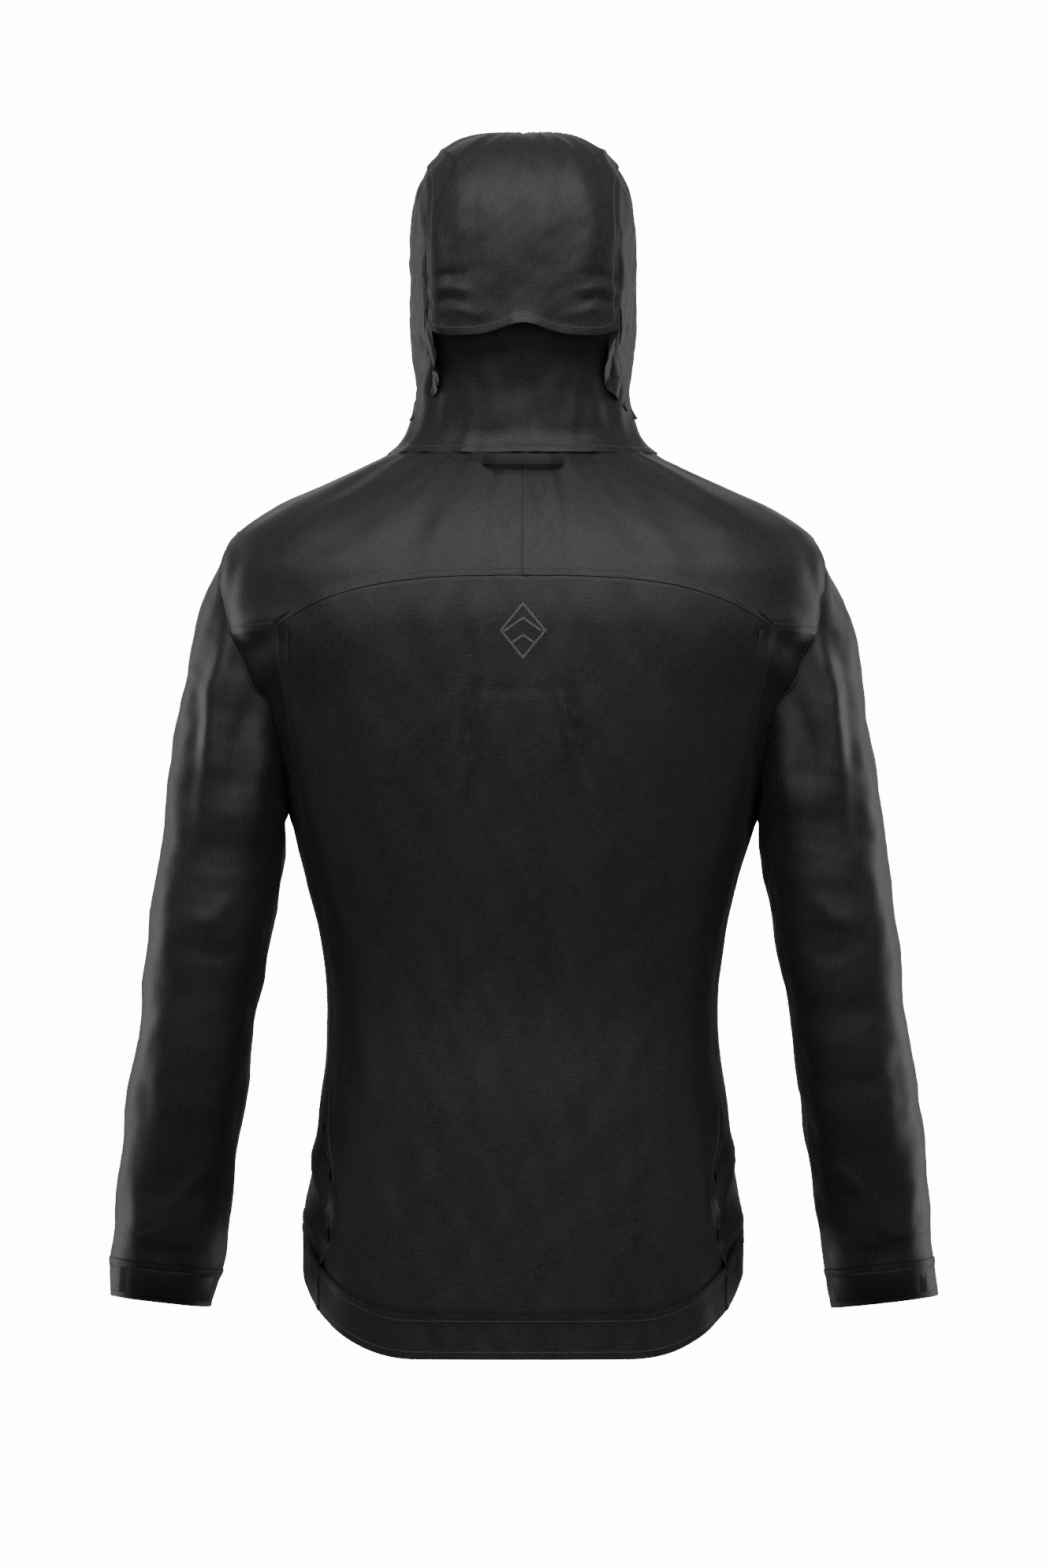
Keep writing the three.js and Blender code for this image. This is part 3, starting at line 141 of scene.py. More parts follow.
def patch(bottom: Line, top: Line, left: Line, right: Line) -> Callable[[Array, Array], Array]:
    """The area between four lines: bottom and top run the same way, and so do left and right."""
    c00, c10, c01, c11 = (line(np.array(s)) for line in (bottom, top) for s in (0.0, 1.0))

    def area(u: Array, v: Array) -> Array:
        """Returns: the place at shares u and v."""
        s, t = u[..., None], v[..., None]
        corners = mix(mix(c00, c10, s), mix(c01, c11, s), t)
        return mix(bottom(u), top(u), t) + mix(left(v), right(v), s) - corners

    return area


# ---- The worn form -----------------------------------------------------------------------------
@dataclass
class BodyForm:
    """The jacket's outer surface: a rounded oval at every level, and a squarish dome for the hood."""

    equator: float = 915.0
    dome_rise: float = 121.0
    dome_square: float = 3.1
    chin: float = CHIN
    hood_front: float = 122.0
    width: Profile = field(default_factory=lambda: Profile(
        (0, 188), (98, 187), (200, 173), (290, 166), (350, 172), (433, 192), (549, 226),
        (616, 256), (660, 259), (692, 246), (717.9, 211.7), (735.2, 174.7), (753.9, 133.8),
        (764, 114), (784, 98), (814, 91), (874, 96), (915, 96)))
    back: Profile = field(default_factory=lambda: Profile(
        (0, 128), (200, 122), (290, 117), (433, 129), (560, 137), (616, 137), (660, 131),
        (692, 120), (717.9, 107), (753.9, 83), (764, 75), (784, 70), (814, 70), (862, 80),
        (880, 92), (900, 101), (915, 103)))
    hood_back: Profile = field(default_factory=lambda: Profile(
        (764, 75), (784, 70), (814, 70), (838, 79), (866, 98), (915, 103)))
    neck_back: Profile = field(default_factory=lambda: Profile(
        (764, 75), (784, 70), (814, 70), (862, 80), (885, 84)))
    square: Profile = field(default_factory=lambda: Profile(
        (0, 2.4), (350, 2.4), (549, 2.7), (616, 3), (660, 3), (692, 2.8), (764, 2.2),
        (814, 2.3), (862, 2.6), (915, 3.1)))

    def front(self, height: Array) -> Array:
        """Returns: how far the front edge stands from the middle plane."""
        straight = 145 - 0.032 * np.minimum(height, self.chin)
        above = np.clip((height - self.chin) / 65, 0, 1)
        return mix(straight, self.hood_front, above)

    def polar(self, place: Array, back: Optional[Profile] = None) -> Array:
        """Turns drafted places into places by true direction.

        Args:
            place: [angle, height], the angle as drafted: 0 centre back, 180 centre front.
            back: the back's depth, where it isn't the body's own.
        Returns:
            [direction in degrees, height].
        """
        angle, height = np.radians(place[..., 0]), place[..., 1]
        level = np.minimum(height, self.equator)
        power = 2 / self.square(level)
        s, c = np.sin(angle), np.cos(angle)
        depth = np.where(c > 0, (back or self.back)(level), self.front(level))
        x = self.width(level) * np.sign(s) * np.abs(s) ** power
        y = depth * np.sign(c) * np.abs(c) ** power
        return pair(np.degrees(np.arctan2(x, y)), height)

    def point(self, place: Array, back: Optional[Union[Profile, Array]] = None) -> Array:
        """Args: place: [direction, height]. back: another back depth. Returns: points in mm."""
        turn, height = np.radians(place[..., 0]), place[..., 1]
        level = np.minimum(height, self.equator)
        n = self.square(level)
        s, c = np.sin(turn), np.cos(turn)
        deep = self.back if back is None else back
        behind = deep(level) if callable(deep) else deep
        depth = np.where(c > 0, behind, self.front(level))
        reach = ((np.abs(s) / self.width(level)) ** n + (np.abs(c) / depth) ** n) ** (-1 / n)
        rise = np.clip((height - self.equator) / self.dome_rise, 0, 0.9999)
        reach = reach * (1 - rise ** self.dome_square) ** (1 / self.dome_square)
        return np.stack([reach * s, reach * c, height - NECK], -1)

    def skin(self, place: Array, back: Optional[Union[Profile, Array]] = None) -> tuple[Array, Array]:
        """Returns: points in mm at [direction, height] places, and the outward normals there."""
        here = self.point(place, back)
        round_, up = np.array([0.3, 0.0]), np.array([0.0, 0.6])
        across = self.point(place + round_, back) - self.point(place - round_, back)
        along = self.point(place + up, back) - self.point(place - up, back)
        normal = np.cross(along, across)
        return here, normal / np.linalg.norm(normal, axis=-1, keepdims=True)

    def angle_at(self, x: Array, height: Array) -> Array:
        """Returns: the drafted angle on the front where the half width is x."""
        share = np.clip(x / self.width(height), 0, 1)
        return 180 - np.degrees(np.arcsin(share ** (self.square(height) / 2)))


BODY = BodyForm()


@dataclass
class Pattern:
    """The seam lines of the body and the hood, as drafted [angle, height] lines."""

    hem_band: float = 38.0
    yoke_centre: float = 659.0
    yoke_side: float = 613.0
    underarm: float = 455.0
    tip: float = 692.0
    back_turn: float = 72.0  # where the yoke's lower edge meets the armhole
    front_turn: float = -54.0
    gusset_turn: float = -126.0
    zip_half: float = 8.0  # the front edges stop this far from the middle
    side_seam: Profile = field(default_factory=lambda: Profile(
        (0, 74), (52, 71), (77, 66), (111, 60), (150, 62), (197, 72), (300, 80), (445, 78),
        (500, 67), (548, 60), (613, 48)))
    reach: Profile = field(default_factory=lambda: Profile(
        (0, 0), (35, 9.5), (69, 18), (98, 22.5), (120, 17.5), (150, 7), (180, 0)))

    def __post_init__(self) -> None:
        """Works out the lines that depend on others."""
        self.yoke_end = float(self.side_seam(self.yoke_side))
        self.side_foot = float(self.hem_seam(self.side_seam(62)))
        top = self.armhole(np.array(self.gusset_turn))
        self.front_seam = Profile((95, 110), (290, 106), (415, 105), (top[1], top[0]))
        self.front_top = top
        self.front_foot = float(self.hem_seam(self.front_seam(133)))
        self.yoke_front = path(self.armhole(np.array(self.front_turn)), (125, NECK))
        self.collar_back = (98, 800)
        share = 0.83 ** BODY.dome_square
        self.crown_rest = (1 - share) ** (1 / BODY.dome_square)
        self.face = path((150, 860), (124, 890), (118, 930), self.crown(np.array(1.0)))
        chin = (float(self.zip_edge(CHIN)), CHIN)
        self.chin = path(self.collar_back, (122, 822), (150, 860), (168, 854), chin)

    def hem_edge(self, angle: Array) -> Array:
        """Returns: the height of the lower edge, which rises by 95 mm from back to front."""
        return 95 * smooth((np.abs(angle) - 25) / 90)

    def hem_seam(self, angle: Array) -> Array:
        """Returns: the height of the seam above the hem band."""
        return self.hem_edge(angle) + self.hem_band

    def side(self, t: Array) -> Array:
        """Returns: the seam between the back and the side panel, from the hem up."""
        height = mix(self.side_foot, self.yoke_side, t)
        return pair(self.side_seam(height), height)

    def front(self, t: Array) -> Array:
        """Returns: the seam between the side and the front panel, from the hem up."""
        height = mix(self.front_foot, self.front_top[1], t)
        return pair(self.front_seam(height), height)

    def yoke(self, t: Array) -> Array:
        """Returns: the yoke's lower seam, from the centre to the side."""
        height = mix(self.yoke_centre, self.yoke_side, np.asarray(t) ** 2)
        return pair(t * self.yoke_end, height)

    def armhole(self, turn: Array) -> Array:
        """Returns: the armhole by turn: 0 shoulder tip, 90 at the back, 180 under the arm."""
        turn = (np.asarray(turn, float) + 180) % 360 - 180
        share = (1 + np.cos(np.radians(turn))) / 2
        return pair(90 - np.sign(turn) * self.reach(np.abs(turn)), mix(self.underarm, self.tip, share))

    def zip_edge(self, height: Array) -> Array:
        """Returns: the drafted angle of the front edge."""
        return BODY.angle_at(self.zip_half, height)

    def crown(self, t: Array) -> Array:
        """Returns: the seam between the crown and the hood's side, from the back forwards."""
        turn = np.radians(mix(180, 29.5, t))
        square = BODY.dome_square
        rise = self.crown_rest * np.sin(turn) ** (2 / square)
        across = 0.83 ** square / (1 - rise ** square)
        angle = np.degrees(np.arcsin(np.sqrt(np.minimum(1, across))))
        return pair(np.where(np.cos(turn) < 0, angle, 180 - angle), BODY.equator + BODY.dome_rise * rise)

    def behind_ear(self, height: float) -> tuple[float, float]:
        """Returns: where the crown's side edge passes this height at the back."""
        share = 96 * 0.83 / float(BODY.width(height))
        return math.degrees(math.asin(share ** (float(BODY.square(height)) / 2))), height


CUT = Pattern()


@dataclass
class SleeveForm:
    """A sleeve's outer surface: the armhole, then eight ovals down to the wrist."""

    square: float = 2.2
    # Each row: outer x and height, inner x and height, half depth, centre's y.
    rungs: tuple = (
        (276, 628, 200, 450, 74, 0), (293, 545, 200, 440, 74, 1), (306, 455, 202, 420, 73, 2),
        (317, 368, 214, 354, 70, 4), (329, 266, 231, 252, 66, 1), (343, 166, 245, 152, 61, -13),
        (348.5, 98, 254, 87, 57, -25), (352, 48, 265, 38, 52, -34))

    def cuff_share(self, distance: float) -> float:
        """Returns: the share along the sleeve at this distance above the cuff's edge."""
        return 1 - distance / (51.0 * len(self.rungs))

    def point(self, turn: Array, along: Array, side: int) -> Array:
        """Points of the sleeve.

        Args:
            turn: 0 on the outer side, 90 at the back and 180 on the inner side, in degrees.
            along: 0 at the armhole and 1 at the cuff's edge.
            side: 1 for the wearer's left and -1 for the right.
        Returns:
            points in mm.
        """
        turn, along = np.broadcast_arrays(np.asarray(turn, float), np.asarray(along, float))
        turn = (turn + 180) % 360 - 180
        c, s = np.cos(np.radians(turn)), np.sin(np.radians(turn))
        power = 2 / self.square
        across = (1 + np.sign(c) * np.abs(c) ** power) / 2
        behind = np.sign(s) * np.abs(s) ** power
        rings = [BODY.point(BODY.polar(CUT.armhole(turn)))]
        for ox, oh, ix, ih, depth, y in self.rungs:
            rings.append(np.stack([
                mix(ix, ox, across), y + depth * behind, mix(ih, oh, across) - NECK], -1))
        first, last = 2 * rings[0] - rings[1], 2 * rings[-1] - rings[-2]
        knots = np.stack([first, *rings, last])
        spans = len(rings) - 1
        i = np.clip((along * spans).astype(int), 0, spans - 1)
        t = (along * spans - i)[..., None]
        p = [np.take_along_axis(knots, (i + k)[None, ..., None], 0)[0] for k in range(4)]
        gap = [np.sqrt(np.linalg.norm(p[k + 1] - p[k], axis=-1, keepdims=True)) for k in range(3)]
        gap = [np.maximum(g, 1e-3) for g in gap]
        lead = (p[1] - p[0]) / gap[0] - (p[2] - p[0]) / (gap[0] + gap[1]) + (p[2] - p[1]) / gap[1]
        tail = (p[2] - p[1]) / gap[1] - (p[3] - p[1]) / (gap[1] + gap[2]) + (p[3] - p[2]) / gap[2]
        lead, tail = lead * gap[1], tail * gap[1]
        out = (
            p[1] * (1 + 2 * t) * (1 - t) ** 2 + p[2] * t * t * (3 - 2 * t)
            + lead * t * (1 - t) ** 2 + tail * t * t * (t - 1)
        )
        return out * np.array([side, 1, 1])


SLEEVE = SleeveForm()


# ---- Folds and drape ---------------------------------------------------------------------------
@dataclass(frozen=True)
class Fold:
    """A soft crease along a run of (half width, height) points, the same on both sides."""

    run: tuple
    rise: float  # above the cloth round it, or below it if negative
    width: float
    front: bool = False

    def lift(self, point: Array) -> Array:
        """Args: point: places on the cloth in mm. Returns: how far the fold lifts them."""
        x, height = np.abs(point[..., 0]), point[..., 2] + NECK
        best = np.full(x.shape, 1e9)
        taper = np.ones(x.shape)
        legs = len(self.run) - 1
        for k, (a, b) in enumerate(zip(self.run, self.run[1:])):
            dx, dh = b[0] - a[0], b[1] - a[1]
            share = np.clip(((x - a[0]) * dx + (height - a[1]) * dh) / (dx * dx + dh * dh), 0, 1)
            far = np.hypot(x - a[0] - share * dx, height - a[1] - share * dh)
            along = (k + share) / legs
            taper = np.where(far < best, np.sin(np.pi * np.clip(along * 0.86 + 0.07, 0, 1)) ** 0.7, taper)
            best = np.minimum(best, far)
        shown = smooth((-point[..., 1] if self.front else point[..., 1]) / 20 + 0.5)
        return 1.5 * self.rise * np.exp(-((best / self.width) ** 2)) * taper * shown


@dataclass(frozen=True)
class Drape:
    """Seeded soft unevenness, as cloth has that hangs from the shoulders."""

    seed: int
    rise: float
    across: float  # the usual distance between two waves, across and down, in mm
    down: float
    waves: int = 14

    def lift(self, point: Array) -> Array:
        """Args: point: places on the cloth in mm. Returns: how far the drape lifts them."""
        draw = np.random.default_rng(self.seed)
        total = np.zeros(point.shape[:-1])
        around = np.arctan2(point[..., 0], point[..., 1]) * 150
        for _ in range(self.waves):
            kx, kz = draw.normal(0, 1, 2) * 2 * np.pi / np.array([self.across, self.down])
            total += np.sin(kx * around + kz * point[..., 2] + draw.uniform(0, 2 * np.pi))
        return self.rise * total / math.sqrt(self.waves / 2)


BACK_FOLDS = (
    Fold(((212, 606), (207, 552), (197, 470), (190, 410)), -3.2, 9),
    Fold(((231, 604), (224, 548), (209, 480)), 2.6, 10),
    Fold(((205, 621), (222, 622), (240, 616)), 2.8, 7),
    Fold(((206, 601), (222, 600), (238, 592)), -3.4, 9),
    Fold(((200, 640), (214, 580), (230, 556)), 1.4, 8),
    Fold(((33, 558), (39, 524), (49, 480)), 2.6, 3.0),
    Fold(((44, 640), (37, 600), (31, 562)), 0.9, 6),
    Fold(((39, 566), (46, 530), (56, 482)), -1.9, 3.6),
    Fold(((0, 563), (26, 563)), -0.5, 3),
    Fold(((58, 655), (70, 610), (74, 560)), 0.8, 9),
    Fold(((140, 600), (132, 480), (126, 330), (128, 180)), 1.1, 16),
    Fold(((96, 600), (84, 440), (80, 260)), -0.9, 18),
    Fold(((60, 500), (52, 330), (50, 150)), 0.8, 15),
    Fold(((172, 620), (160, 500), (150, 400)), -1.0, 14),
    Fold(((20, 750), (28, 710), (30, 672)), 0.8, 7),
    Fold(((110, 745), (150, 712), (200, 690)), 1.0, 12),
    Fold(((70, 740), (90, 700), (128, 664)), -0.8, 12),
    Fold(((247, 690), (249, 664), (257, 636)), 1.0, 4),
    Fold(((236, 690), (242, 664), (250, 640)), -0.5, 5),
)
HIP_FOLDS = (
    Fold(((180, 200), (174, 156), (162, 110)), 3.0, 4),
    Fold(((187, 168), (182, 134), (174, 104)), -2.6, 4.5),
    Fold(((170, 180), (163, 140), (160, 110)), -2.4, 3.5),
    Fold(((186, 130), (178, 110), (168, 90)), 3.0, 3.5),
    Fold(((187, 104), (178, 92), (168, 78)), -2.0, 3.5),
    Fold(((178, 150), (170, 120), (164, 96)), -1.8, 3),
    Fold(((176, 250), (172, 210), (166, 170)), 1.6, 7),
)
HOOD_FOLDS = (
    Fold(((84, 950), (84, 905), (80, 858)), 1.5, 4),
    Fold(((90, 944), (90, 896), (84, 840)), -1.6, 4.5),
    Fold(((76, 842), (82, 820), (88, 800)), 1.2, 4),
    Fold(((70, 834), (72, 806), (80, 778)), -1.0, 6),
    Fold(((93, 912), (86, 909), (80, 906)), -0.8, 2.5),
    Fold(((40, 846), (26, 820), (30, 784)), 0.9, 9),
    Fold(((0, 830), (0, 780)), -0.7, 12),
)
CROWN_FOLDS = (
    Fold(((-14, 866), (14, 866)), 3.4, 12),
    Fold(((80, 908), (66, 913), (50, 914)), -1.1, 3.5),
    Fold(((80, 899), (64, 902), (44, 899)), 1.2, 4),
    Fold(((80, 889), (62, 893), (50, 890)), -1.2, 3.5),
    Fold(((76, 880), (58, 884), (36, 878)), 0.9, 4),
    Fold(((74, 872), (66, 866)), 1.0, 4),
    Fold(((69, 1022), (62, 1014), (55, 1007)), 1.7, 2.2),
    Fold(((74, 1012), (66, 1004), (60, 996)), -1.0, 4),
    Fold(((75, 960), (70, 925), (72, 890)), 1.1, 6),
    Fold(((18, 985), (15, 930), (10, 885)), 0.7, 8),
    Fold(((44, 1000), (38, 950), (36, 905)), -0.7, 10),
)
FRONT_FOLDS = (
    Fold(((205, 560), (180, 500), (160, 420)), 2.2, 12, True),
    Fold(((60, 700), (80, 640), (110, 590)), 1.2, 12, True),
    Fold(((30, 560), (26, 400), (30, 240)), 1.0, 14, True),
    Fold(((90, 540), (76, 420), (70, 300)), -1.0, 16, True),
    Fold(((150, 300), (146, 220), (130, 150)), 1.6, 10, True),
    Fold(((40, 230), (60, 180), (90, 150)), 1.0, 9, True),
)
SLEEVE_FOLDS = (
    Fold(((250, 600), (262, 560), (266, 500)), 3.0, 9),
    Fold(((264, 612), (276, 570), (280, 500), (284, 440)), -2.4, 9),
    Fold(((228, 560), (240, 520), (244, 470)), -3.0, 10),
    Fold(((212, 520), (226, 480), (232, 430)), 2.2, 10),
    Fold(((296, 420), (300, 380), (302, 330)), 1.6, 10),
    Fold(((244, 390), (262, 370), (284, 366)), 1.5, 9),
    Fold(((236, 350), (256, 340), (280, 344)), -1.3, 9),
    Fold(((318, 260), (320, 220), (322, 180)), -1.3, 9),
    Fold(((264, 160), (286, 140), (300, 120)), 1.5, 8),
    Fold(((332, 150), (326, 116), (328, 80)), 1.5, 8),
    Fold(((280, 60), (300, 84), (326, 92)), -1.2, 7),
    Fold(((268, 68), (300, 60), (336, 72)), 1.0, 3),
    Fold(((272, 92), (292, 86), (314, 95)), -0.9, 3),
    Fold(((300, 108), (322, 100), (344, 108)), 0.9, 3.5),
)


def folded(point: Array, folds: Sequence[Fold], *drapes: Drape) -> Array:
    """Returns: how far these folds and drapes lift the cloth at each point."""
    return sum((shape.lift(point) for shape in (*folds, *drapes)), np.zeros(point.shape[:-1]))


# ---- Finishes ----------------------------------------------------------------------------------
class Surface(Enum):
    """How a finish's surface was made."""

    WOVEN = "woven"
    KNIT = "knit"
    RIBBED = "ribbed"
    BRAIDED = "braided"
    SATIN = "satin stitch"
    GRAINED = "grained"
    SMOOTH = "smooth"


def linear(colour: str) -> tuple[float, float, float, float]:
    """Args: colour: an sRGB hex value such as "1d1d1e". Returns: linear RGBA."""
    parts = [int(colour[i:i + 2], 16) / 255 for i in (0, 2, 4)]
    return (*[c / 12.92 if c <= 0.04045 else ((c + 0.055) / 1.055) ** 2.4 for c in parts], 1.0)


def add_node(tree: bpy.types.NodeTree, kind: str, inputs: Optional[dict] = None,
             **settings: object) -> bpy.types.Node:
    """Adds one node.

    Args:
        tree: the node tree.
        kind: the node's type name without its ShaderNode prefix.
        inputs: a value or a socket to link, by the input's name or number.
        settings: the node's own properties.
    Returns:
        the node.
    """
    node = tree.nodes.new("ShaderNode" + kind)
    for name, value in settings.items():
        setattr(node, name, value)
    for key, value in (inputs or {}).items():
        socket = node.inputs[key]
        if isinstance(value, bpy.types.NodeSocket):
            tree.links.new(value, socket)
        else:
            socket.default_value = value
    return node


@dataclass(frozen=True)
class Finish:
    """One real material: its two colours, its gloss and the pattern of its surface."""

    name: str
    slot: str
    low: str  # sRGB, in the pattern's hollows
    high: str  # sRGB, on its crowns
    surface: Surface
    pitch: float  # mm between two threads, ribs or grains
    depth: float  # mm of relief
    roughness: float
    metallic: float = 0.0
    specular: float = 0.5
    sheen: float = 0.0
    stitched: bool = False

    def pattern(self, tree: bpy.types.NodeTree) -> bpy.types.NodeSocket:
        """Draws the surface's own relief. Returns: its height, 0 to 1."""
        mapped = self.surface in (Surface.WOVEN, Surface.RIBBED, Surface.KNIT)
        place = add_node(tree, "TexCoord").outputs["UV" if mapped else "Object"]
        per_metre = 1000 / self.pitch
        if self.surface in (Surface.WOVEN, Surface.GRAINED, Surface.SMOOTH):
            layers = []
            stretch = ((1, 0.22, 1), (0.22, 1, 1)) if self.surface is Surface.WOVEN else ((1, 1, 1),)
            for scale in stretch:
                along = add_node(tree, "Mapping", {"Vector": place, "Scale": scale})
                layers.append(add_node(tree, "TexNoise", {
                    "Vector": along.outputs[0], "Scale": per_metre, "Detail": 2.0,
                    "Roughness": 0.6}).outputs["Fac"])
            if len(layers) == 1:
                return layers[0]
            both = add_node(tree, "Math", {0: layers[0], 1: layers[1]}, operation="ADD")
            return add_node(tree, "Math", {0: both.outputs[0], 1: 0.5}, operation="MULTIPLY").outputs[0]
        diagonal = self.surface in (Surface.BRAIDED, Surface.KNIT)
        wave = add_node(tree, "TexWave", {
            "Vector": place, "Scale": per_metre / math.tau, "Distortion": 0.6, "Detail": 1.0},
            bands_direction="DIAGONAL" if diagonal else "X")
        return wave.outputs["Fac"]

    def stitches(self, tree: bpy.types.NodeTree) -> bpy.types.NodeSocket:
        """Draws the topstitching 6 mm from an edge, in stitches of 3.2 mm. Returns: where thread lies."""
        edge = add_node(tree, "Attribute", attribute_name="edge_mm").outputs["Fac"]
        run = add_node(tree, "Attribute", attribute_name="run_mm").outputs["Fac"]
        off = add_node(tree, "Math", {0: edge, 1: 6.0}, operation="SUBTRACT")
        away = add_node(tree, "Math", {0: off.outputs[0]}, operation="ABSOLUTE")
        line = add_node(tree, "MapRange", {
            "Value": away.outputs[0], "From Min": 0.35, "From Max": 0.9, "To Min": 1.0, "To Max": 0.0})
        beat = add_node(tree, "Math", {0: run, 1: 3.2}, operation="DIVIDE")
        part = add_node(tree, "Math", {0: beat.outputs[0]}, operation="FRACT")
        on = add_node(tree, "Math", {0: part.outputs[0], 1: 0.74}, operation="LESS_THAN")
        return add_node(tree, "Math", {0: line.outputs["Result"], 1: on.outputs[0]},
                        operation="MULTIPLY").outputs[0]

    def material(self) -> bpy.types.Material:
        """Returns: the finish as a material, made once."""
        made = bpy.data.materials.get(self.name)
        if made:
            return made
        made = bpy.data.materials.new(self.name)
        made.use_nodes = True
        tree = made.node_tree
        tree.nodes.clear()
        height = self.pattern(tree)
        # Painted sheen: broad, faint lighter streaks about 45 mm apart, stretched three times as long as they are
        # wide, stand in for light along the folds of slack cloth hanging down its length; the same noise also
        # varies the roughness.
        hung = add_node(tree, "Mapping", {
            "Vector": add_node(tree, "TexCoord").outputs["Object"], "Scale": (1, 1, 0.33)})
        painted_sheen_and_roughness = add_node(tree, "TexNoise", {"Vector": hung.outputs[0], "Scale": 22.0, "Detail": 5.0})
        sharp = add_node(tree, "MapRange", {"Value": height, "From Min": 0.38, "From Max": 0.62})
        tone = add_node(tree, "Mix", {6: linear(self.low), 7: linear(self.high), 0: sharp.outputs[0]},
                        data_type="RGBA")
        # painted sheen: the streak noise lifts the colour up to 0.35 of the way to the crown colour
        colour = add_node(tree, "Mix", {6: tone.outputs[2], 7: linear(self.high), 0: add_node(
            tree, "MapRange", {"Value": painted_sheen_and_roughness.outputs["Fac"], "From Min": 0.35, "From Max": 0.75,
                               "To Min": 0.0, "To Max": 0.35}).outputs["Result"]}, data_type="RGBA")
        shade = colour.outputs[2]
        rough = add_node(tree, "MapRange", {
            "Value": painted_sheen_and_roughness.outputs["Fac"], "To Min": self.roughness - 0.06, "To Max": self.roughness + 0.06})
        bump = add_node(tree, "Bump", {"Height": height, "Strength": 1.0, "Distance": self.depth * MM})
        if self.stitched:
            thread = self.stitches(tree)
            lit = add_node(tree, "Mix", {6: shade, 7: linear("38393b"), 0: thread}, data_type="RGBA")
            shade = lit.outputs[2]
            bump = add_node(tree, "Bump", {
                "Height": thread, "Normal": bump.outputs[0], "Strength": 1.0, "Distance": 0.4 * MM})
        shader = add_node(tree, "BsdfPrincipled", {
            "Base Color": shade, "Roughness": rough.outputs["Result"], "Metallic": self.metallic,
            "Specular IOR Level": self.specular, "Sheen Weight": self.sheen, "Sheen Roughness": 0.5,
            "Normal": bump.outputs[0]})
        add_node(tree, "OutputMaterial", {"Surface": shader.outputs[0]})
        return made


# Nylon face cloth of a waterproof laminate: a soft satin black whose fine plain weave shows as grain.
# The real threads are 0.2 mm apart, too fine to show, so the grain is drawn at 1.9 mm.
SHELL = Finish("nylon_face_cloth_woven", "shell_cloth", "0c0c0d", "222223", Surface.WOVEN,
               1.9, 0.3, 0.52, specular=0.42, sheen=0.05, stitched=True)
# The laminate's inner film with its printed backer: a matt charcoal that fills the openings.
LINING = Finish("polyurethane_backer_film", "lining_film", "151516", "232325", Surface.GRAINED,
                1.6, 0.05, 0.7, specular=0.35)
# Grosgrain polyester webbing: cross ribs about 1.4 mm apart give the loop its toothed edge of light.
WEBBING = Finish("polyester_grosgrain_woven", "webbing", "262628", "4c4c50", Surface.RIBBED,
                 1.6, 0.35, 0.7, specular=0.3)
# Warp-knitted zip tape with a film coat: dull, with slanting stitches 1.2 mm apart.
TAPE = Finish("polyester_zip_tape_coated", "zip_tape", "0c0c0d", "1a1a1b", Surface.KNIT,
              1.2, 0.12, 0.6, specular=0.35)
# Acetal teeth, injection moulded: clean small highlights.
CHAIN = Finish("acetal_teeth_moulded", "zip_chain", "0d0d0e", "151516", Surface.SMOOTH,
               6.0, 0.02, 0.36)
# Zinc slider under black enamel, slightly worn: crisp dark reflections.
METAL = Finish("zinc_die_cast_enamelled", "zip_metal", "1b1c1e", "3a3b3e", Surface.SMOOTH,
               8.0, 0.02, 0.34, metallic=0.85)
# Nylon pullers and cord locks, spark-eroded mould: an even fine grain.
MOULDED = Finish("nylon_moulded_grained", "moulded", "101011", "1d1d1e", Surface.GRAINED,
                 0.8, 0.05, 0.48)
# Cuff tab of moulded thermoplastic rubber on cloth: darker and duller than the cloth.
TAB = Finish("tpu_tab_moulded", "tab_laminate", "0c0c0d", "18181a", Surface.RIBBED,
             2.4, 0.12, 0.5, specular=0.4)
# Braided polyester sleeve of a 3 mm shock cord.
BRAID = Finish("polyester_cord_braided", "cord_sleeve", "101012", "2a2a2d", Surface.BRAIDED,
               1.2, 0.2, 0.65, specular=0.3)
# Rayon embroidery thread in satin stitch: a soft sheen that lifts the mark off the cloth.
THREAD = Finish("rayon_thread_satin_stitch", "thread", "2a2b2c", "5c5d60", Surface.SATIN,
                0.9, 0.25, 0.42, specular=0.6, sheen=0.1)


# ---- Making pieces -----------------------------------------------------------------------------
@dataclass
class Edges:
    """What is done at a panel's four edges, in the order low u, high u, low v, high v.

    tuck is the width in mm of the seam allowance that runs on under the next panel, lap says which
    edges lie raised over the next panel, and stitch which are topstitched.
    """

    tuck: tuple = (0, 0, 0, 0)
    lap: tuple = (0, 0, 0, 0)
    stitch: tuple = (0, 0, 0, 0)
    lap_rise: float = 0.9
    lap_width: float = 8.0


TUCK_CELLS = 3
TUCK_DEPTH = 1.25  # mm that an allowance lies below the panel over it
CLOTH = 1.0  # mm of laminate with its tape
FAR = 500.0  # mm, further than any stitching from an edge


def arcs(point: Array, axis: int) -> Array:
    """Returns: the distance walked along a grid's lines, from 0."""
    step = np.linalg.norm(np.diff(point, axis=axis), axis=-1)
    lead = np.zeros_like(np.take(step, [0], axis))
    return np.concatenate([lead, np.cumsum(step, axis)], axis)


def grid_normals(point: Array, core: Array) -> Array:
    """Returns: the grid's normals, pointing away from core."""
    normal = np.cross(np.gradient(point, axis=0), np.gradient(point, axis=1))
    normal /= np.maximum(np.linalg.norm(normal, axis=-1, keepdims=True), 1e-9)
    return normal * (1 if (normal * (point - core)).sum() > 0 else -1)


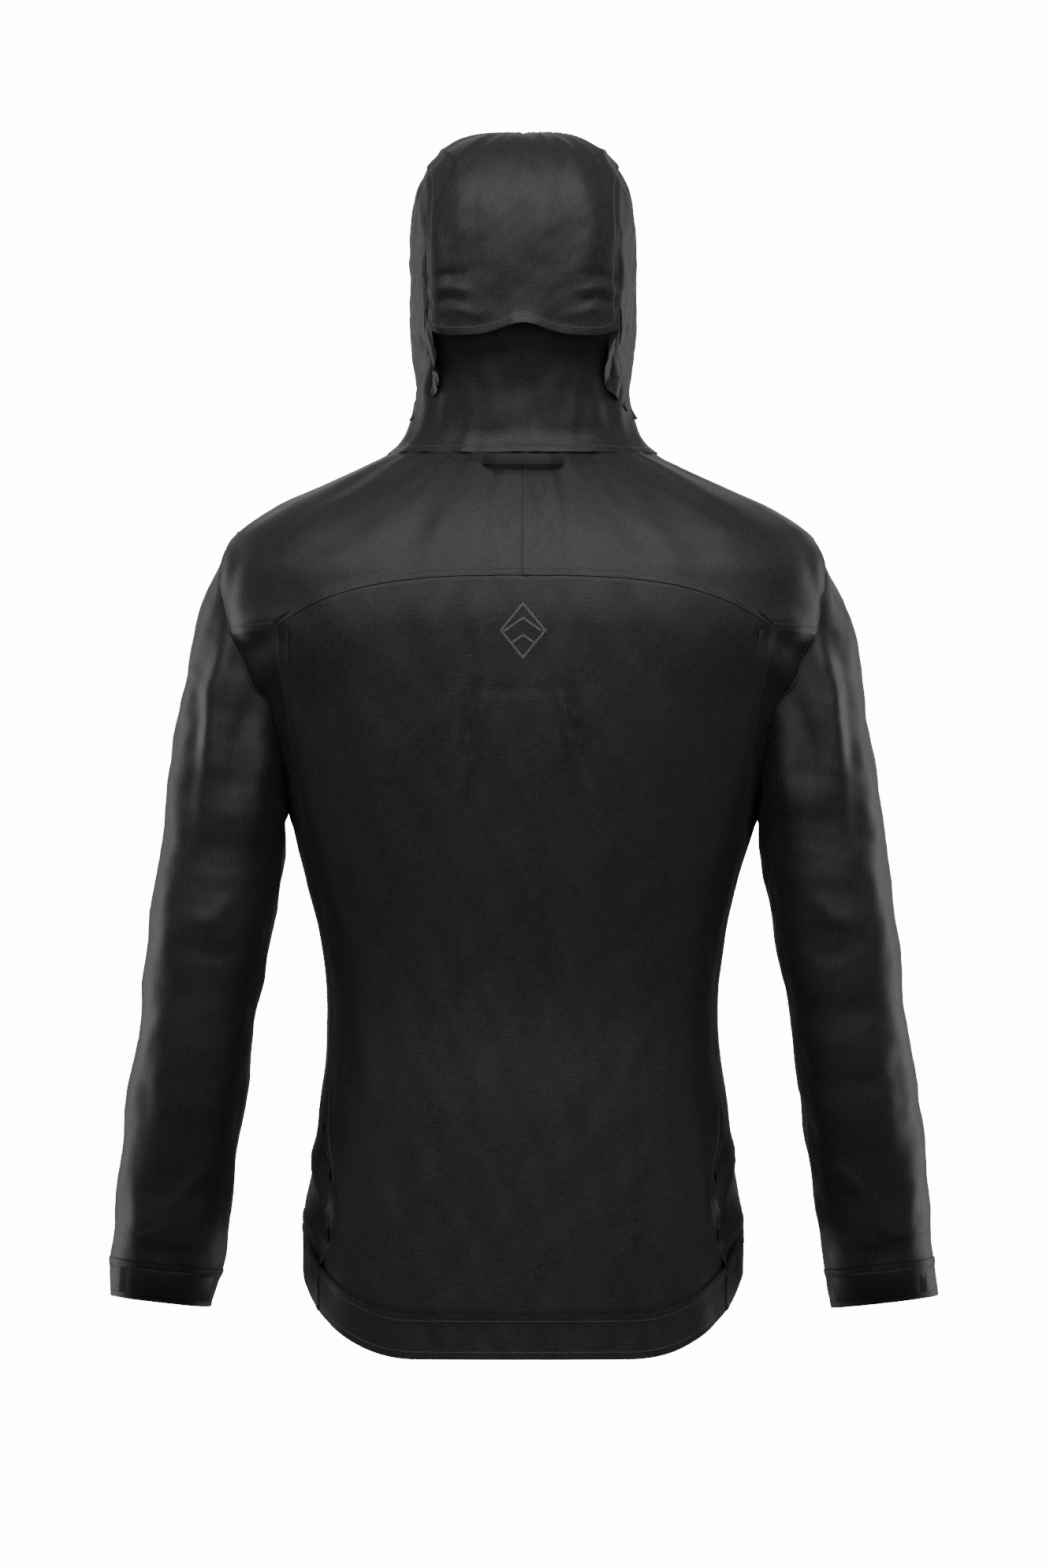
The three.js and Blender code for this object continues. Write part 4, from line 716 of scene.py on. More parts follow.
@dataclass
class Panel:
    """One cut piece of cloth, laid over a surface as a fine grid and given its thickness."""

    name: str
    cells: tuple
    surface: Callable[[Array, Array], Union[Array, tuple]]
    finish: Finish = SHELL
    body: str = "shell"
    replaces: tuple = ()
    edges: Edges = field(default_factory=Edges)
    relief: Optional[Callable[[Array], Array]] = None
    above: float = 0.0
    thick: float = CLOTH
    core: Optional[Callable[[Array], Array]] = None
    blend: Optional[tuple] = None
    inner: Optional[Finish] = LINING

    def build(self) -> bpy.types.Object:
        """Returns: the finished piece, riding on its body unless it has a blend."""
        margin = [TUCK_CELLS if t else 0 for t in self.edges.tuck]
        nu = self.cells[0] + margin[0] + margin[1]
        nv = self.cells[1] + margin[2] + margin[3]
        bm = bmesh.new()
        bmesh.ops.create_grid(bm, x_segments=nu, y_segments=nv, size=1.0)
        mesh = bpy.data.meshes.new(self.name)
        bm.to_mesh(mesh)
        bm.free()
        place = np.empty(len(mesh.vertices) * 3)
        mesh.vertices.foreach_get("co", place)
        share = (place.reshape(-1, 3)[:, :2] + 1) / 2
        i, j = np.rint(share * (nu, nv)).astype(int).T
        point, normal, edge, run = self.shape(margin, nu, nv)
        mesh.vertices.foreach_set("co", (point[i, j] * MM).ravel())
        self.write_maps(mesh, i, j, point, edge, run)
        face = mesh.polygons[len(mesh.polygons) // 2]
        mesh.update()
        corner = face.vertices[0]
        if face.normal.dot(Vector(normal[i[corner], j[corner]])) < 0:
            mesh.flip_normals()
        piece = add_piece(self.name, mesh)
        mesh.materials.append(self.finish.material())
        solid = piece.modifiers.new("thickness", "SOLIDIFY")
        solid.thickness = self.thick * MM
        solid.offset = -1
        if self.inner:
            mesh.materials.append(self.inner.material())
            solid.material_offset = 1
        settle(piece)
        attach(piece, self.body, self.replaces, self.blend)
        self.declare(point)
        return piece

    def middle(self, point: Array) -> Array:
        """Returns: what the outer face points away from."""
        if self.core:
            return self.core(point)
        return np.array([0, 0, 1.0]) * point

    def shape(self, margin: Sequence[int], nu: int, nv: int) -> tuple[Array, Array, Array, Array]:
        """Works out the grid's points and normals, and how far each lies from and along a stitched edge."""
        iu, iv = np.arange(nu + 1) - margin[0], np.arange(nv + 1) - margin[2]
        over = [np.maximum(-iu, 0), np.maximum(iu - self.cells[0], 0),
                np.maximum(-iv, 0), np.maximum(iv - self.cells[1], 0)]
        shares = [np.clip(steps / cells, 0, 1) for steps, cells in zip((iu, iv), self.cells)]
        u, v = np.meshgrid(*shares, indexing="ij")
        made = self.surface(u, v)
        if isinstance(made, tuple):
            base, normal = made
        else:
            fine = made
            inner = fine[margin[0]:nu + 1 - margin[1], margin[2]:nv + 1 - margin[3]]
            some = grid_normals(inner, self.middle(inner))
            pad = ((margin[0], margin[1]), (margin[2], margin[3]), (0, 0))
            base, normal = fine, np.pad(some, pad, mode="edge")
        su, sv = arcs(base, 0), arcs(base, 1)
        far = [su, su[-1:] - su, sv, sv[:, -1:] - sv]
        lift = np.full(u.shape, self.above)
        if self.relief:
            lift = lift + self.relief(base)
        for k, distance in enumerate(far):
            if self.edges.lap[k]:
                lift = lift + self.edges.lap_rise * smooth(1 - (distance - 1.5) / self.edges.lap_width)
        point = base + normal * lift[..., None]
        point = self.allowances(point, normal, over, margin)
        edge, run = np.full(u.shape, FAR), np.zeros(u.shape)
        for k, distance in enumerate(far):
            if self.edges.stitch[k]:
                nearer = distance < edge
                run = np.where(nearer, sv if k < 2 else su, run)
                edge = np.where(nearer, distance, edge)
        return point, normal, edge, run

    def allowances(self, point: Array, normal: Array, over: Sequence[Array],
                   margin: Sequence[int]) -> Array:
        """Runs the cloth on past its seams, below the panels that lie over it."""
        out = point.copy()
        for k, cells in enumerate(over):
            if not margin[k]:
                continue
            axis = k // 2
            at = margin[k] if k % 2 == 0 else point.shape[axis] - 1 - margin[k]
            inward = 3 if k % 2 == 0 else -3
            rim, inner = np.take(out, [at], axis), np.take(out, [at + inward], axis)
            away = rim - inner
            away /= np.maximum(np.linalg.norm(away, axis=-1, keepdims=True), 1e-9)
            step = cells / TUCK_CELLS
            shaped = step[:, None, None] if axis == 0 else step[None, :, None]
            out = out + shaped * self.edges.tuck[k] * away - np.minimum(1, shaped * 3) * TUCK_DEPTH * normal
        return out

    def write_maps(self, mesh: bpy.types.Mesh, i: Array, j: Array, point: Array, edge: Array,
                   run: Array) -> None:
        """Writes the cloth map in metres and the two stitching attributes."""
        su, sv = arcs(point, 0), arcs(point, 1)
        layer = mesh.uv_layers.new(name="UVMap")
        corner = np.empty(len(mesh.loops), np.int32)
        mesh.loops.foreach_get("vertex_index", corner)
        flat = np.stack([su, sv], -1)[i, j] * MM
        layer.data.foreach_set("uv", flat[corner].ravel())
        for name, value in (("edge_mm", edge), ("run_mm", run)):
            attribute = mesh.attributes.new(name, "FLOAT", "POINT")
            attribute.data.foreach_set("value", value[i, j].astype(np.float32))

    def declare(self, point: Array) -> None:
        """Works out the panel's flat width, length and area, and keeps none of them."""
        across, down = arcs(point, 0)[-1].max() * MM, arcs(point, 1)[:, -1].max() * MM
        a, b = point[1:, 1:] - point[:-1, :-1], point[1:, :-1] - point[:-1, 1:]
        area = float(np.linalg.norm(np.cross(a, b), axis=-1).sum() / 2) * MM * MM
        if area < 0.35 * across * down:  # the grid walks round a bend, so the cut is shorter than it
            across = area / (0.6 * down)


def add_piece(name: str, mesh: bpy.types.Mesh) -> bpy.types.Object:
    """Returns: a new object for the mesh, at the origin, in the scene."""
    piece = bpy.data.objects.new(name, mesh)
    bpy.context.scene.collection.objects.link(piece)
    return piece


def settle(piece: bpy.types.Object, crease: float = 0.8) -> None:
    """Applies a piece's modifiers and keeps edges sharper than crease, in radians, crisp."""
    bpy.context.view_layer.update()
    made = bpy.data.meshes.new_from_object(piece.evaluated_get(bpy.context.evaluated_depsgraph_get()))
    piece.modifiers.clear()
    old = piece.data
    piece.data = made
    made.name = piece.name
    bpy.data.meshes.remove(old)
    bm = bmesh.new()
    bm.from_mesh(made)
    for face in bm.faces:
        face.smooth = True
    for line in bm.edges:
        if len(line.link_faces) == 2 and line.calc_face_angle(0.0) > crease:
            line.smooth = False
    bm.to_mesh(made)
    bm.free()


def attach(piece: bpy.types.Object, body: str, nodes: Sequence[str],
           blend: Optional[tuple] = None) -> None:
    """Puts a piece on its body, or with a blend bakes its place into its mesh and leaves it off any body, and
    hides the nodes it stands for.
    """
    if blend:
        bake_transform(piece)
    else:
        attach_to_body(piece, body)
    if nodes:
        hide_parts(*nodes)
    LOG.info("%s: %d faces on %s", piece.name, len(piece.data.polygons), body)


def body_of(node: str) -> str:
    """Returns: the body that a frame node rides on."""
    return next(name for name, nodes in frame["record"]["behaviour"]["bodies"].items() if node in nodes)


def trim(node: str, finish: Finish, bevel: float, segments: int = 2) -> bpy.types.Object:
    """A hard trim: the frame's own shape with its edges rounded.

    Args:
        node: the frame node.
        finish: what it is made of.
        bevel: the radius of its edges in mm.
        segments: how many faces go round each edge.
    Returns:
        the piece.
    """
    bm = bmesh.new()
    bm.from_mesh(frame["nodes"][node].data)
    bmesh.ops.remove_doubles(bm, verts=bm.verts, dist=1e-6)
    bmesh.ops.dissolve_limit(bm, angle_limit=0.02, verts=bm.verts, edges=bm.edges)
    mesh = bpy.data.meshes.new("trim_" + node)
    bm.to_mesh(mesh)
    bm.free()
    mesh.materials.clear()
    mesh.materials.append(finish.material())
    piece = add_piece("trim_" + node, mesh)
    round_ = piece.modifiers.new("edges", "BEVEL")
    round_.width = bevel * MM
    round_.segments = segments
    round_.limit_method = "ANGLE"
    round_.angle_limit = 0.6
    settle(piece, 0.7)
    attach(piece, body_of(node), [node])
    return piece


def even(line: Line, back: Optional[Profile] = None) -> Line:
    """Args: line: a drafted line. Returns: the same line by true direction, walked at one pace."""
    t = (1 - np.cos(np.linspace(0, np.pi, 801))) / 2
    place = BODY.polar(line(t), back)
    run = arcs(BODY.point(place, back), 0)
    run /= run[-1]
    return lambda s: pair(np.interp(s, run, place[:, 0]), np.interp(s, run, place[:, 1]))


def on_body(area: Callable[[Array, Array], Array], side: int = 1,
            back: Optional[Profile] = None) -> Callable:
    """Lays an area of [direction, height] places on the body. Returns: its surface."""

    def surface(u: Array, v: Array) -> tuple[Array, Array]:
        """Returns: points and normals."""
        point, normal = BODY.skin(area(u, v), back)
        return point * [side, 1, 1], normal * [side, 1, 1]

    return surface


def back_relief(point: Array) -> Array:
    """Returns: the lift of the cloth over the back of the body."""
    return folded(point, BACK_FOLDS + HIP_FOLDS, Drape(3, 0.55, 95, 210), Drape(5, 0.16, 26, 60))


def front_relief(point: Array) -> Array:
    """Returns: the lift of the cloth over the front and the sides."""
    return folded(point, FRONT_FOLDS, Drape(8, 0.8, 90, 190), Drape(9, 0.2, 28, 60))


def body_relief(point: Array) -> Array:
    """Returns: the lift of cloth that goes from the back to the front."""
    return mix(front_relief(point), back_relief(point), smooth(point[..., 1] / 60 + 0.5))


# ---- Sub-assemblies ----------------------------------------------------------------------------
@dataclass
class Torso:
    """The back, the yokes over the shoulders, the side panels and the two fronts."""

    def build(self) -> None:
        """Makes every panel of the body."""
        self.back()
        for word, side in SIDES:
            self.yoke(word, side)
            self.side(word, side)
            self.front(word, side)
        for node in ("emblem_backing", "yoke_seam_tape", "pocket_bag_left", "pocket_bag_right"):
            sewn_in(node, LINING)

    def back(self) -> None:
        """Makes the back panel, from the hem seam to the yoke."""
        right = even(CUT.side)
        left = lambda v: right(v) * [-1, 1]
        foot = CUT.side(np.array(0.0))
        miss = foot[1] - CUT.hem_seam(foot[0])
        half = even(lambda t: pair(t * foot[0], CUT.hem_seam(t * foot[0]) + miss * t))
        seam = even(CUT.yoke)
        area = patch(mirrored(half), mirrored(seam), left, right)
        Panel("back_panel_cloth", (120, 150), on_body(area), replaces=("back_panel",), relief=back_relief,
              edges=Edges(tuck=(0, 0, 15, 8), lap=(1, 1, 0, 0), stitch=(1, 1, 0, 0))).build()

    def yoke(self, word: str, side: int) -> None:
        """Makes one half of the yoke, which laps over the back, the sleeve and the front."""
        corner = (CUT.yoke_end, CUT.yoke_side)
        seam = even(CUT.yoke)
        link = even(path(corner, CUT.armhole(np.array(CUT.back_turn))))
        hole = even(lambda t: CUT.armhole(mix(CUT.back_turn, CUT.front_turn, t)))
        outer = lambda t: chained(t, (6 / 15, seam), (8 / 15, link), (1.0, hole))
        inner = even(lambda t: pair(t * 125, NECK))
        centre = even(path((0, CUT.yoke_centre), (0, NECK)))
        area = patch(outer, inner, centre, even(CUT.yoke_front))
        under = side > 0
        Panel(f"yoke_cloth_{word}", (105, 34), on_body(area, side), replaces=(f"yoke_{word}",),
              relief=body_relief, edges=Edges(
                  tuck=(7 if under else 0, 0, 0, 6), lap=(0 if under else 0.4, 1, 1, 0),
                  stitch=(0, 1, 1, 0))).build()

    def side(self, word: str, side: int) -> None:
        """Makes a side panel, between the side seam, the front side seam and the armhole."""
        feet = [CUT.side(np.array(0.0)), CUT.front(np.array(0.0))]
        back, along, front = even(lambda t: CUT.side(1 - t)), even(hem_line(*feet)), even(CUT.front)
        seams = lambda t: chained(t, (12 / 24, back), (16 / 24, along), (1.0, front))
        end = CUT.gusset_turn - 18
        opening = even(lambda t: CUT.armhole(mix(CUT.back_turn, 360 + end, t)))
        top = even(path(CUT.side(np.array(1.0)), CUT.armhole(np.array(CUT.back_turn))))
        last = even(lambda t: CUT.armhole(mix(CUT.gusset_turn, end, t)))

        def turns(height: Array) -> tuple[Array, Array]:
            """Returns: the true directions of the two seams at this height."""
            seams = (CUT.side_seam, CUT.front_seam)
            low, high = (BODY.polar(pair(seam(height), height))[..., 0] for seam in seams)
            return low, high - low

        def shares(line: Line) -> Line:
            """Returns: the line with its direction as a share of the way between the seams."""
            def shared(t: Array) -> Array:
                """Returns: [share, height] places."""
                place = line(t)
                low, reach = turns(place[..., 1])
                return pair((place[..., 0] - low) / reach, place[..., 1])
            return shared

        blended = patch(*[shares(line) for line in (seams, opening, top, last)])

        def area(u: Array, v: Array) -> Array:
            """Returns: the place by true direction."""
            place = blended(u, v)
            low, reach = turns(place[..., 1])
            return pair(low + place[..., 0] * reach, place[..., 1])

        Panel(f"side_panel_cloth_{word}", (144, 30), on_body(area, side), replaces=(f"side_panel_{word}",),
              relief=body_relief,
              edges=Edges(tuck=(0, 0, 15, 0), lap=(0, 0, 0, 1), stitch=(0, 0, 0, 1))).build()

    def front(self, word: str, side: int) -> None:
        """Makes a front panel, up to the zip."""
        low = float(CUT.hem_seam(180.0))
        foot = CUT.front(np.array(0.0))
        bottom = even(hem_line(foot, np.array([float(CUT.zip_edge(low)), low])))
        hole = even(lambda t: CUT.armhole(mix(CUT.gusset_turn, CUT.front_turn, t)))
        seam, shoulder = even(CUT.front), even(CUT.yoke_front)
        left = lambda t: chained(t, (0.5, seam), (0.7, hole), (1.0, shoulder))
        right = even(lambda t: pair(CUT.zip_edge(mix(low, NECK, t)), mix(low, NECK, t)))
        top = even(path((125, NECK), (float(CUT.zip_edge(NECK)), NECK)))
        Panel(f"front_panel_cloth_{word}", (46, 150), on_body(patch(bottom, top, left, right), side),
              replaces=(f"front_panel_{word}",), relief=front_relief,
              edges=Edges(tuck=(7, 0, 7, 6), lap=(0, 0, 0, 0), stitch=(0, 1, 0, 0))).build()


def mirrored(half: Line) -> Line:
    """Returns: a line from the centre carried on to the other side, walked from -1 to 1."""
    return lambda t: half(np.abs(2 * t - 1)) * np.stack([np.sign(2 * t - 1), np.ones_like(t)], -1)


def hem_line(a: Array, b: Array) -> Line:
    """Returns: the hem seam between two feet, which it meets exactly."""
    def line(t: Array) -> Array:
        """Returns: [angle, height] places."""
        angle = mix(a[0], b[0], t)
        miss = mix(a[1] - CUT.hem_seam(a[0]), b[1] - CUT.hem_seam(b[0]), t)
        return pair(angle, CUT.hem_seam(angle) + miss)
    return line


def sewn_in(node: str, finish: Finish, round_by: float = 0.25) -> bpy.types.Object:
    """Makes a layer of cloth sewn inside, in the node's own shape. Returns: the piece."""
    piece = trim(node, finish, round_by, 1)
    bm = bmesh.new()
    bm.from_mesh(piece.data)
    area = sum(face.calc_area() for face in bm.faces) / 2
    bm.free()
    size = piece.dimensions
    width, length = sorted(size)[1:]
    if area < 0.31 * width * length:
        width = area / length / 0.9
    return piece


@dataclass
class Hem:
    """The bands along the lower edge, their facing, and the drawcord with its two locks."""

    def build(self) -> None:
        """Makes the hem."""
        seam = float(CUT.side(np.array(0.0))[0])
        self.band("hem_band_back_cloth", ("hem_band_back",), -seam, seam, 1, (170, 12))
        for word, side in SIDES:
            edge = float(CUT.zip_edge(float(CUT.hem_edge(180.0)) + 19))
            self.band(f"hem_band_front_cloth_{word}", (f"hem_band_front_{word}",), seam, edge, side,
                      (100, 12))
            trim(f"hem_{word}_lock", MOULDED, 0.6, 2)
            trim(f"hem_{word}_button", MOULDED, 0.5, 2)
        sewn_in("hem_facing", LINING)
        trim("hem_drawcord", BRAID, 0.1, 1)

    def band(self, name: str, nodes: tuple, start: float, end: float, side: int, cells: tuple) -> None:
        """Makes a band, folded double and turned in at its lower edge."""
        ends = [float(BODY.polar(pair(a, CUT.hem_edge(a)))[..., 0]) for a in (start, end)]

        def drafted(turn: Array) -> Array:
            """Returns: the drafted angle of a true direction at the hem."""
            table = np.linspace(-179, 179, 2001)
            return np.interp(turn, BODY.polar(pair(table, CUT.hem_edge(table)))[..., 0], table)

        def area(u: Array, v: Array) -> Array:
            """Returns: the place at u along and v up the band."""
            turn = mix(ends[0], ends[1], u)
            return pair(turn, CUT.hem_edge(drafted(turn)) + v * CUT.hem_band)

        whole = start < 0
        Panel(name, cells, on_body(area, side), replaces=nodes, relief=body_relief, thick=1.9,
              edges=Edges(tuck=(9, 9, 0, 0) if whole else (0, 0, 0, 0),
                          lap=(0 if whole else 0.6, 0, 0, 0.3), stitch=(0, 0, 1, 1))).build()


@dataclass
class Hood:
    """The crown with its rear flap, the sides, the neck panel, the collar and the brim."""

    crown_share: float = 0.83
    front_turn: float = 29.5
    on_dome: float = 0.8
    flap_depth: Profile = field(default_factory=lambda: Profile((857, 99), (882, 102), (915, 103)))

    def build(self) -> None:
        """Makes the hood and the collar."""
        self.crown()
        self.neck()
        for word, side in SIDES:
            self.side(word, side)
            self.collar(word, side)
        self.brim()
        for node, finish, edge in (("hood_rear_lock", MOULDED, 0.6), ("hood_rear_button", MOULDED, 0.5),
                                   ("hood_drawcord", BRAID, 0.1)):
            trim(node, finish, edge)

    def crown_point(self, u: Array, v: Array) -> Array:
        """Returns: points of the crown, u across and v from the brim back over to the flap's edge."""
        x = 96 * self.crown_share * (2 * u - 1)
        n = BODY.dome_square
        rest = (1 - np.abs(x / 96) ** n) ** (1 / n)
        turn = math.radians(self.front_turn)
        start = math.atan2(BODY.dome_rise * math.sin(turn) ** (2 / n),
                           BODY.hood_front * math.cos(turn) ** (2 / n))
        way = mix(start, math.pi, np.clip(v / self.on_dome, 0, 1))
        c, s = np.cos(way), np.maximum(np.sin(way), 0)
        depth = np.where(c > 0, BODY.hood_front, 103.0)
        reach = ((np.abs(c) / depth) ** n + (s / BODY.dome_rise) ** n) ** (-1 / n) * rest
        dome = np.stack([x, -reach * c, BODY.equator - NECK + reach * s], -1)
        down = np.clip((v - self.on_dome) / (1 - self.on_dome), 0, 1)
        edge = 862 + 11 * np.exp(-((x / 24) ** 2)) + 7 * np.maximum(0, (np.abs(x) - 60) / 20) ** 2
        height = mix(BODY.equator, edge, down)
        flap = np.stack([x, self.flap_depth(height) * rest, height - NECK], -1)
        return np.where((v > self.on_dome)[..., None], flap, dome)

    def crown(self) -> None:
        """Makes the crown panel, whose rear flap stands free above the neck panel."""
        Panel("hood_crown_cloth", (56, 120), self.crown_point, replaces=("hood_crown",),
              core=lambda p: p * [0.5, 0, 0] + [0, 0, 120],
              relief=lambda p: folded(p, CROWN_FOLDS, Drape(12, 0.5, 60, 90), Drape(13, 0.15, 20, 30)),
              above=0.6, edges=Edges(tuck=(0, 0, 0, 0), lap=(0.6, 0.6, 0, 1), stitch=(1, 1, 0, 1))).build()

    def neck(self) -> None:
        """Makes the neck panel, hollow behind the neck under the flap."""
        corner = CUT.behind_ear(885.0)
        side = path((100, NECK), CUT.collar_back, (80, 820), (57, 842), corner)

        def surface(u: Array, v: Array) -> Array:
            """Returns: its points."""
            share = 2 * u - 1
            place = BODY.polar(side(v), BODY.hood_back)
            level = mix(mix(NECK, 885.0, v), place[..., 1], np.abs(share))
            hollow = mix(BODY.neck_back(level), BODY.hood_back(level), share ** 4)
            return BODY.point(pair(share * place[..., 0], level), hollow)

        Panel("hood_neck_cloth", (80, 44), surface, replaces=("hood_neck_panel",), above=0.2,
              relief=lambda p: folded(p, HOOD_FOLDS, Drape(15, 0.5, 60, 80)),
              edges=Edges(tuck=(3, 3, 0, 0), lap=(0, 0, 1, 0), stitch=(1, 1, 1, 0))).build()

    def side(self, word: str, side: int) -> None:
        """Makes a side of the hood, from the collar up to the crown."""
        flap_side = [CUT.behind_ear(height) for height in (868.0, 880.0, 892.0, 904.0)]
        rear = path(CUT.collar_back, (80, 820), (57, 842), *flap_side, CUT.crown(np.array(0.0)))
        low = lambda t: CUT.chin(t / 2)
        lines = [even(line, BODY.hood_back) for line in (low, CUT.crown, rear, CUT.face)]
        Panel(f"hood_side_cloth_{word}", (64, 56), on_body(patch(*lines), side, BODY.hood_back),
              replaces=(f"hood_side_{word}",),
              relief=lambda p: folded(p, HOOD_FOLDS, Drape(17, 0.6, 60, 70), Drape(18, 0.15, 20, 30)),
              edges=Edges(tuck=(24, 0, 0, 5), lap=(0, 0, 1, 0), stitch=(0, 1, 1, 0))).build()

    def collar(self, word: str, side: int) -> None:
        """Makes one side of the collar."""
        left = even(path((100, NECK), CUT.collar_back), BODY.hood_back)
        right = even(lambda t: pair(CUT.zip_edge(mix(NECK, CHIN, t)), mix(NECK, CHIN, t)),
                     BODY.hood_back)
        bottom = even(path((100, NECK), (float(CUT.zip_edge(NECK)), NECK)), BODY.hood_back)
        top = even(CUT.chin, BODY.hood_back)
        Panel(f"collar_cloth_{word}", (60, 30),
              on_body(patch(bottom, top, left, right), side, BODY.hood_back),
              replaces=(f"collar_{word}",), relief=front_relief, thick=1.2,
              edges=Edges(tuck=(0, 0, 0, 0), lap=(0, 0, 1, 0), stitch=(0, 1, 1, 1))).build()

    def brim(self) -> None:
        """Makes the stiffened brim, which drops a little from the crown's front edge."""
        def surface(u: Array, v: Array) -> Array:
            """Returns: its points."""
            root = self.crown_point(u, np.zeros_like(v))
            reach = 26 * (0.3 + 0.7 * np.sqrt(np.maximum(0, 1 - (2 * u - 1) ** 2)))
            return root + (v * reach)[..., None] * np.array([0, -1, -0.32])
        Panel("hood_brim_cloth", (56, 12), surface, replaces=("hood_brim",), thick=2.4, above=-0.2,
              core=lambda p: p * [0.5, 0.8, 0], edges=Edges(tuck=(0, 0, 4, 0), stitch=(1, 1, 0, 1))).build()


@dataclass
class Sleeve:
    """A sleeve with its gusset, cuff and closing tab; the cuff and the tab ride on the arm, the sleeve and the
    gusset are baked in place.
    """

    word: str
    side: int
    gusset: tuple = (162, 216)
    cuff_band: float = 34.0
    lift_start: float = 257.0  # how far out along the arm the blend starts, mm; the blend only has the piece baked in place
    lift_end: float = 322.0

    def surface(self, turns: tuple, start: float, end: float) -> Callable:
        """Returns: the surface between two turns and two shares along the sleeve."""
        def made(u: Array, v: Array) -> tuple[Array, Array]:
            """Returns: points and outward normals."""
            turn, along = mix(turns[0], turns[1], u), mix(start, end, v)
            point = SLEEVE.point(turn, along, self.side)
            round_ = SLEEVE.point(turn + 0.5, along, self.side) - SLEEVE.point(turn - 0.5, along, self.side)
            low, high = np.maximum(along - 0.002, 0), np.minimum(along + 0.002, 1)
            down = SLEEVE.point(turn, high, self.side) - SLEEVE.point(turn, low, self.side)
            normal = np.cross(round_, down)
            normal /= np.maximum(np.linalg.norm(normal, axis=-1, keepdims=True), 1e-9)
            centre = (SLEEVE.point(np.zeros_like(turn), along, self.side)
                      + SLEEVE.point(np.full_like(turn, 180), along, self.side)) / 2
            outward = np.sign(((point - centre) * normal).sum(-1, keepdims=True))
            return point, normal * np.where(outward == 0, 1, outward)
        return made

    def relief(self, point: Array) -> Array:
        """Returns: the lift of the sleeve's cloth."""
        return folded(point, SLEEVE_FOLDS, Drape(21, 0.9, 70, 120), Drape(22, 0.25, 24, 44))

    def build(self) -> None:
        """Makes the sleeve."""
        body = f"sleeve_{self.word}"
        along = np.array([0.98 * self.side, 0, -0.196])
        blend = ("shell", body, tuple(along * self.lift_start * MM), tuple(along * self.lift_end * MM))
        cuff = SLEEVE.cuff_share(self.cuff_band)
        low, high = self.gusset
        Panel(f"sleeve_cloth_{self.word}", (110, 190), self.surface((low, high - 360), 0, cuff),
              body=body, blend=blend, replaces=(f"sleeve_main_{self.word}",), relief=self.relief,
              edges=Edges(tuck=(0, 0, 8, 5), lap=(1, 1, 0, 0), stitch=(1, 1, 0, 0))).build()
        Panel(f"sleeve_gusset_cloth_{self.word}", (24, 190), self.surface((low, high), 0, cuff),
              body=body, blend=blend, replaces=(f"sleeve_gusset_{self.word}",), relief=self.relief,
              edges=Edges(tuck=(6, 6, 8, 5))).build()
        Panel(f"cuff_cloth_{self.word}", (150, 14), self.surface((0, 360), cuff, 1), body=body,
              replaces=(f"cuff_{self.word}",), relief=self.relief, thick=1.7, above=0.1,
              edges=Edges(lap=(0, 0, 0.3, 0), stitch=(0, 0, 1, 1))).build()
        trim(f"cuff_tab_{self.word}", TAB, 0.4)
        trim(f"cuff_loop_patch_{self.word}", LINING, 0.2, 1)


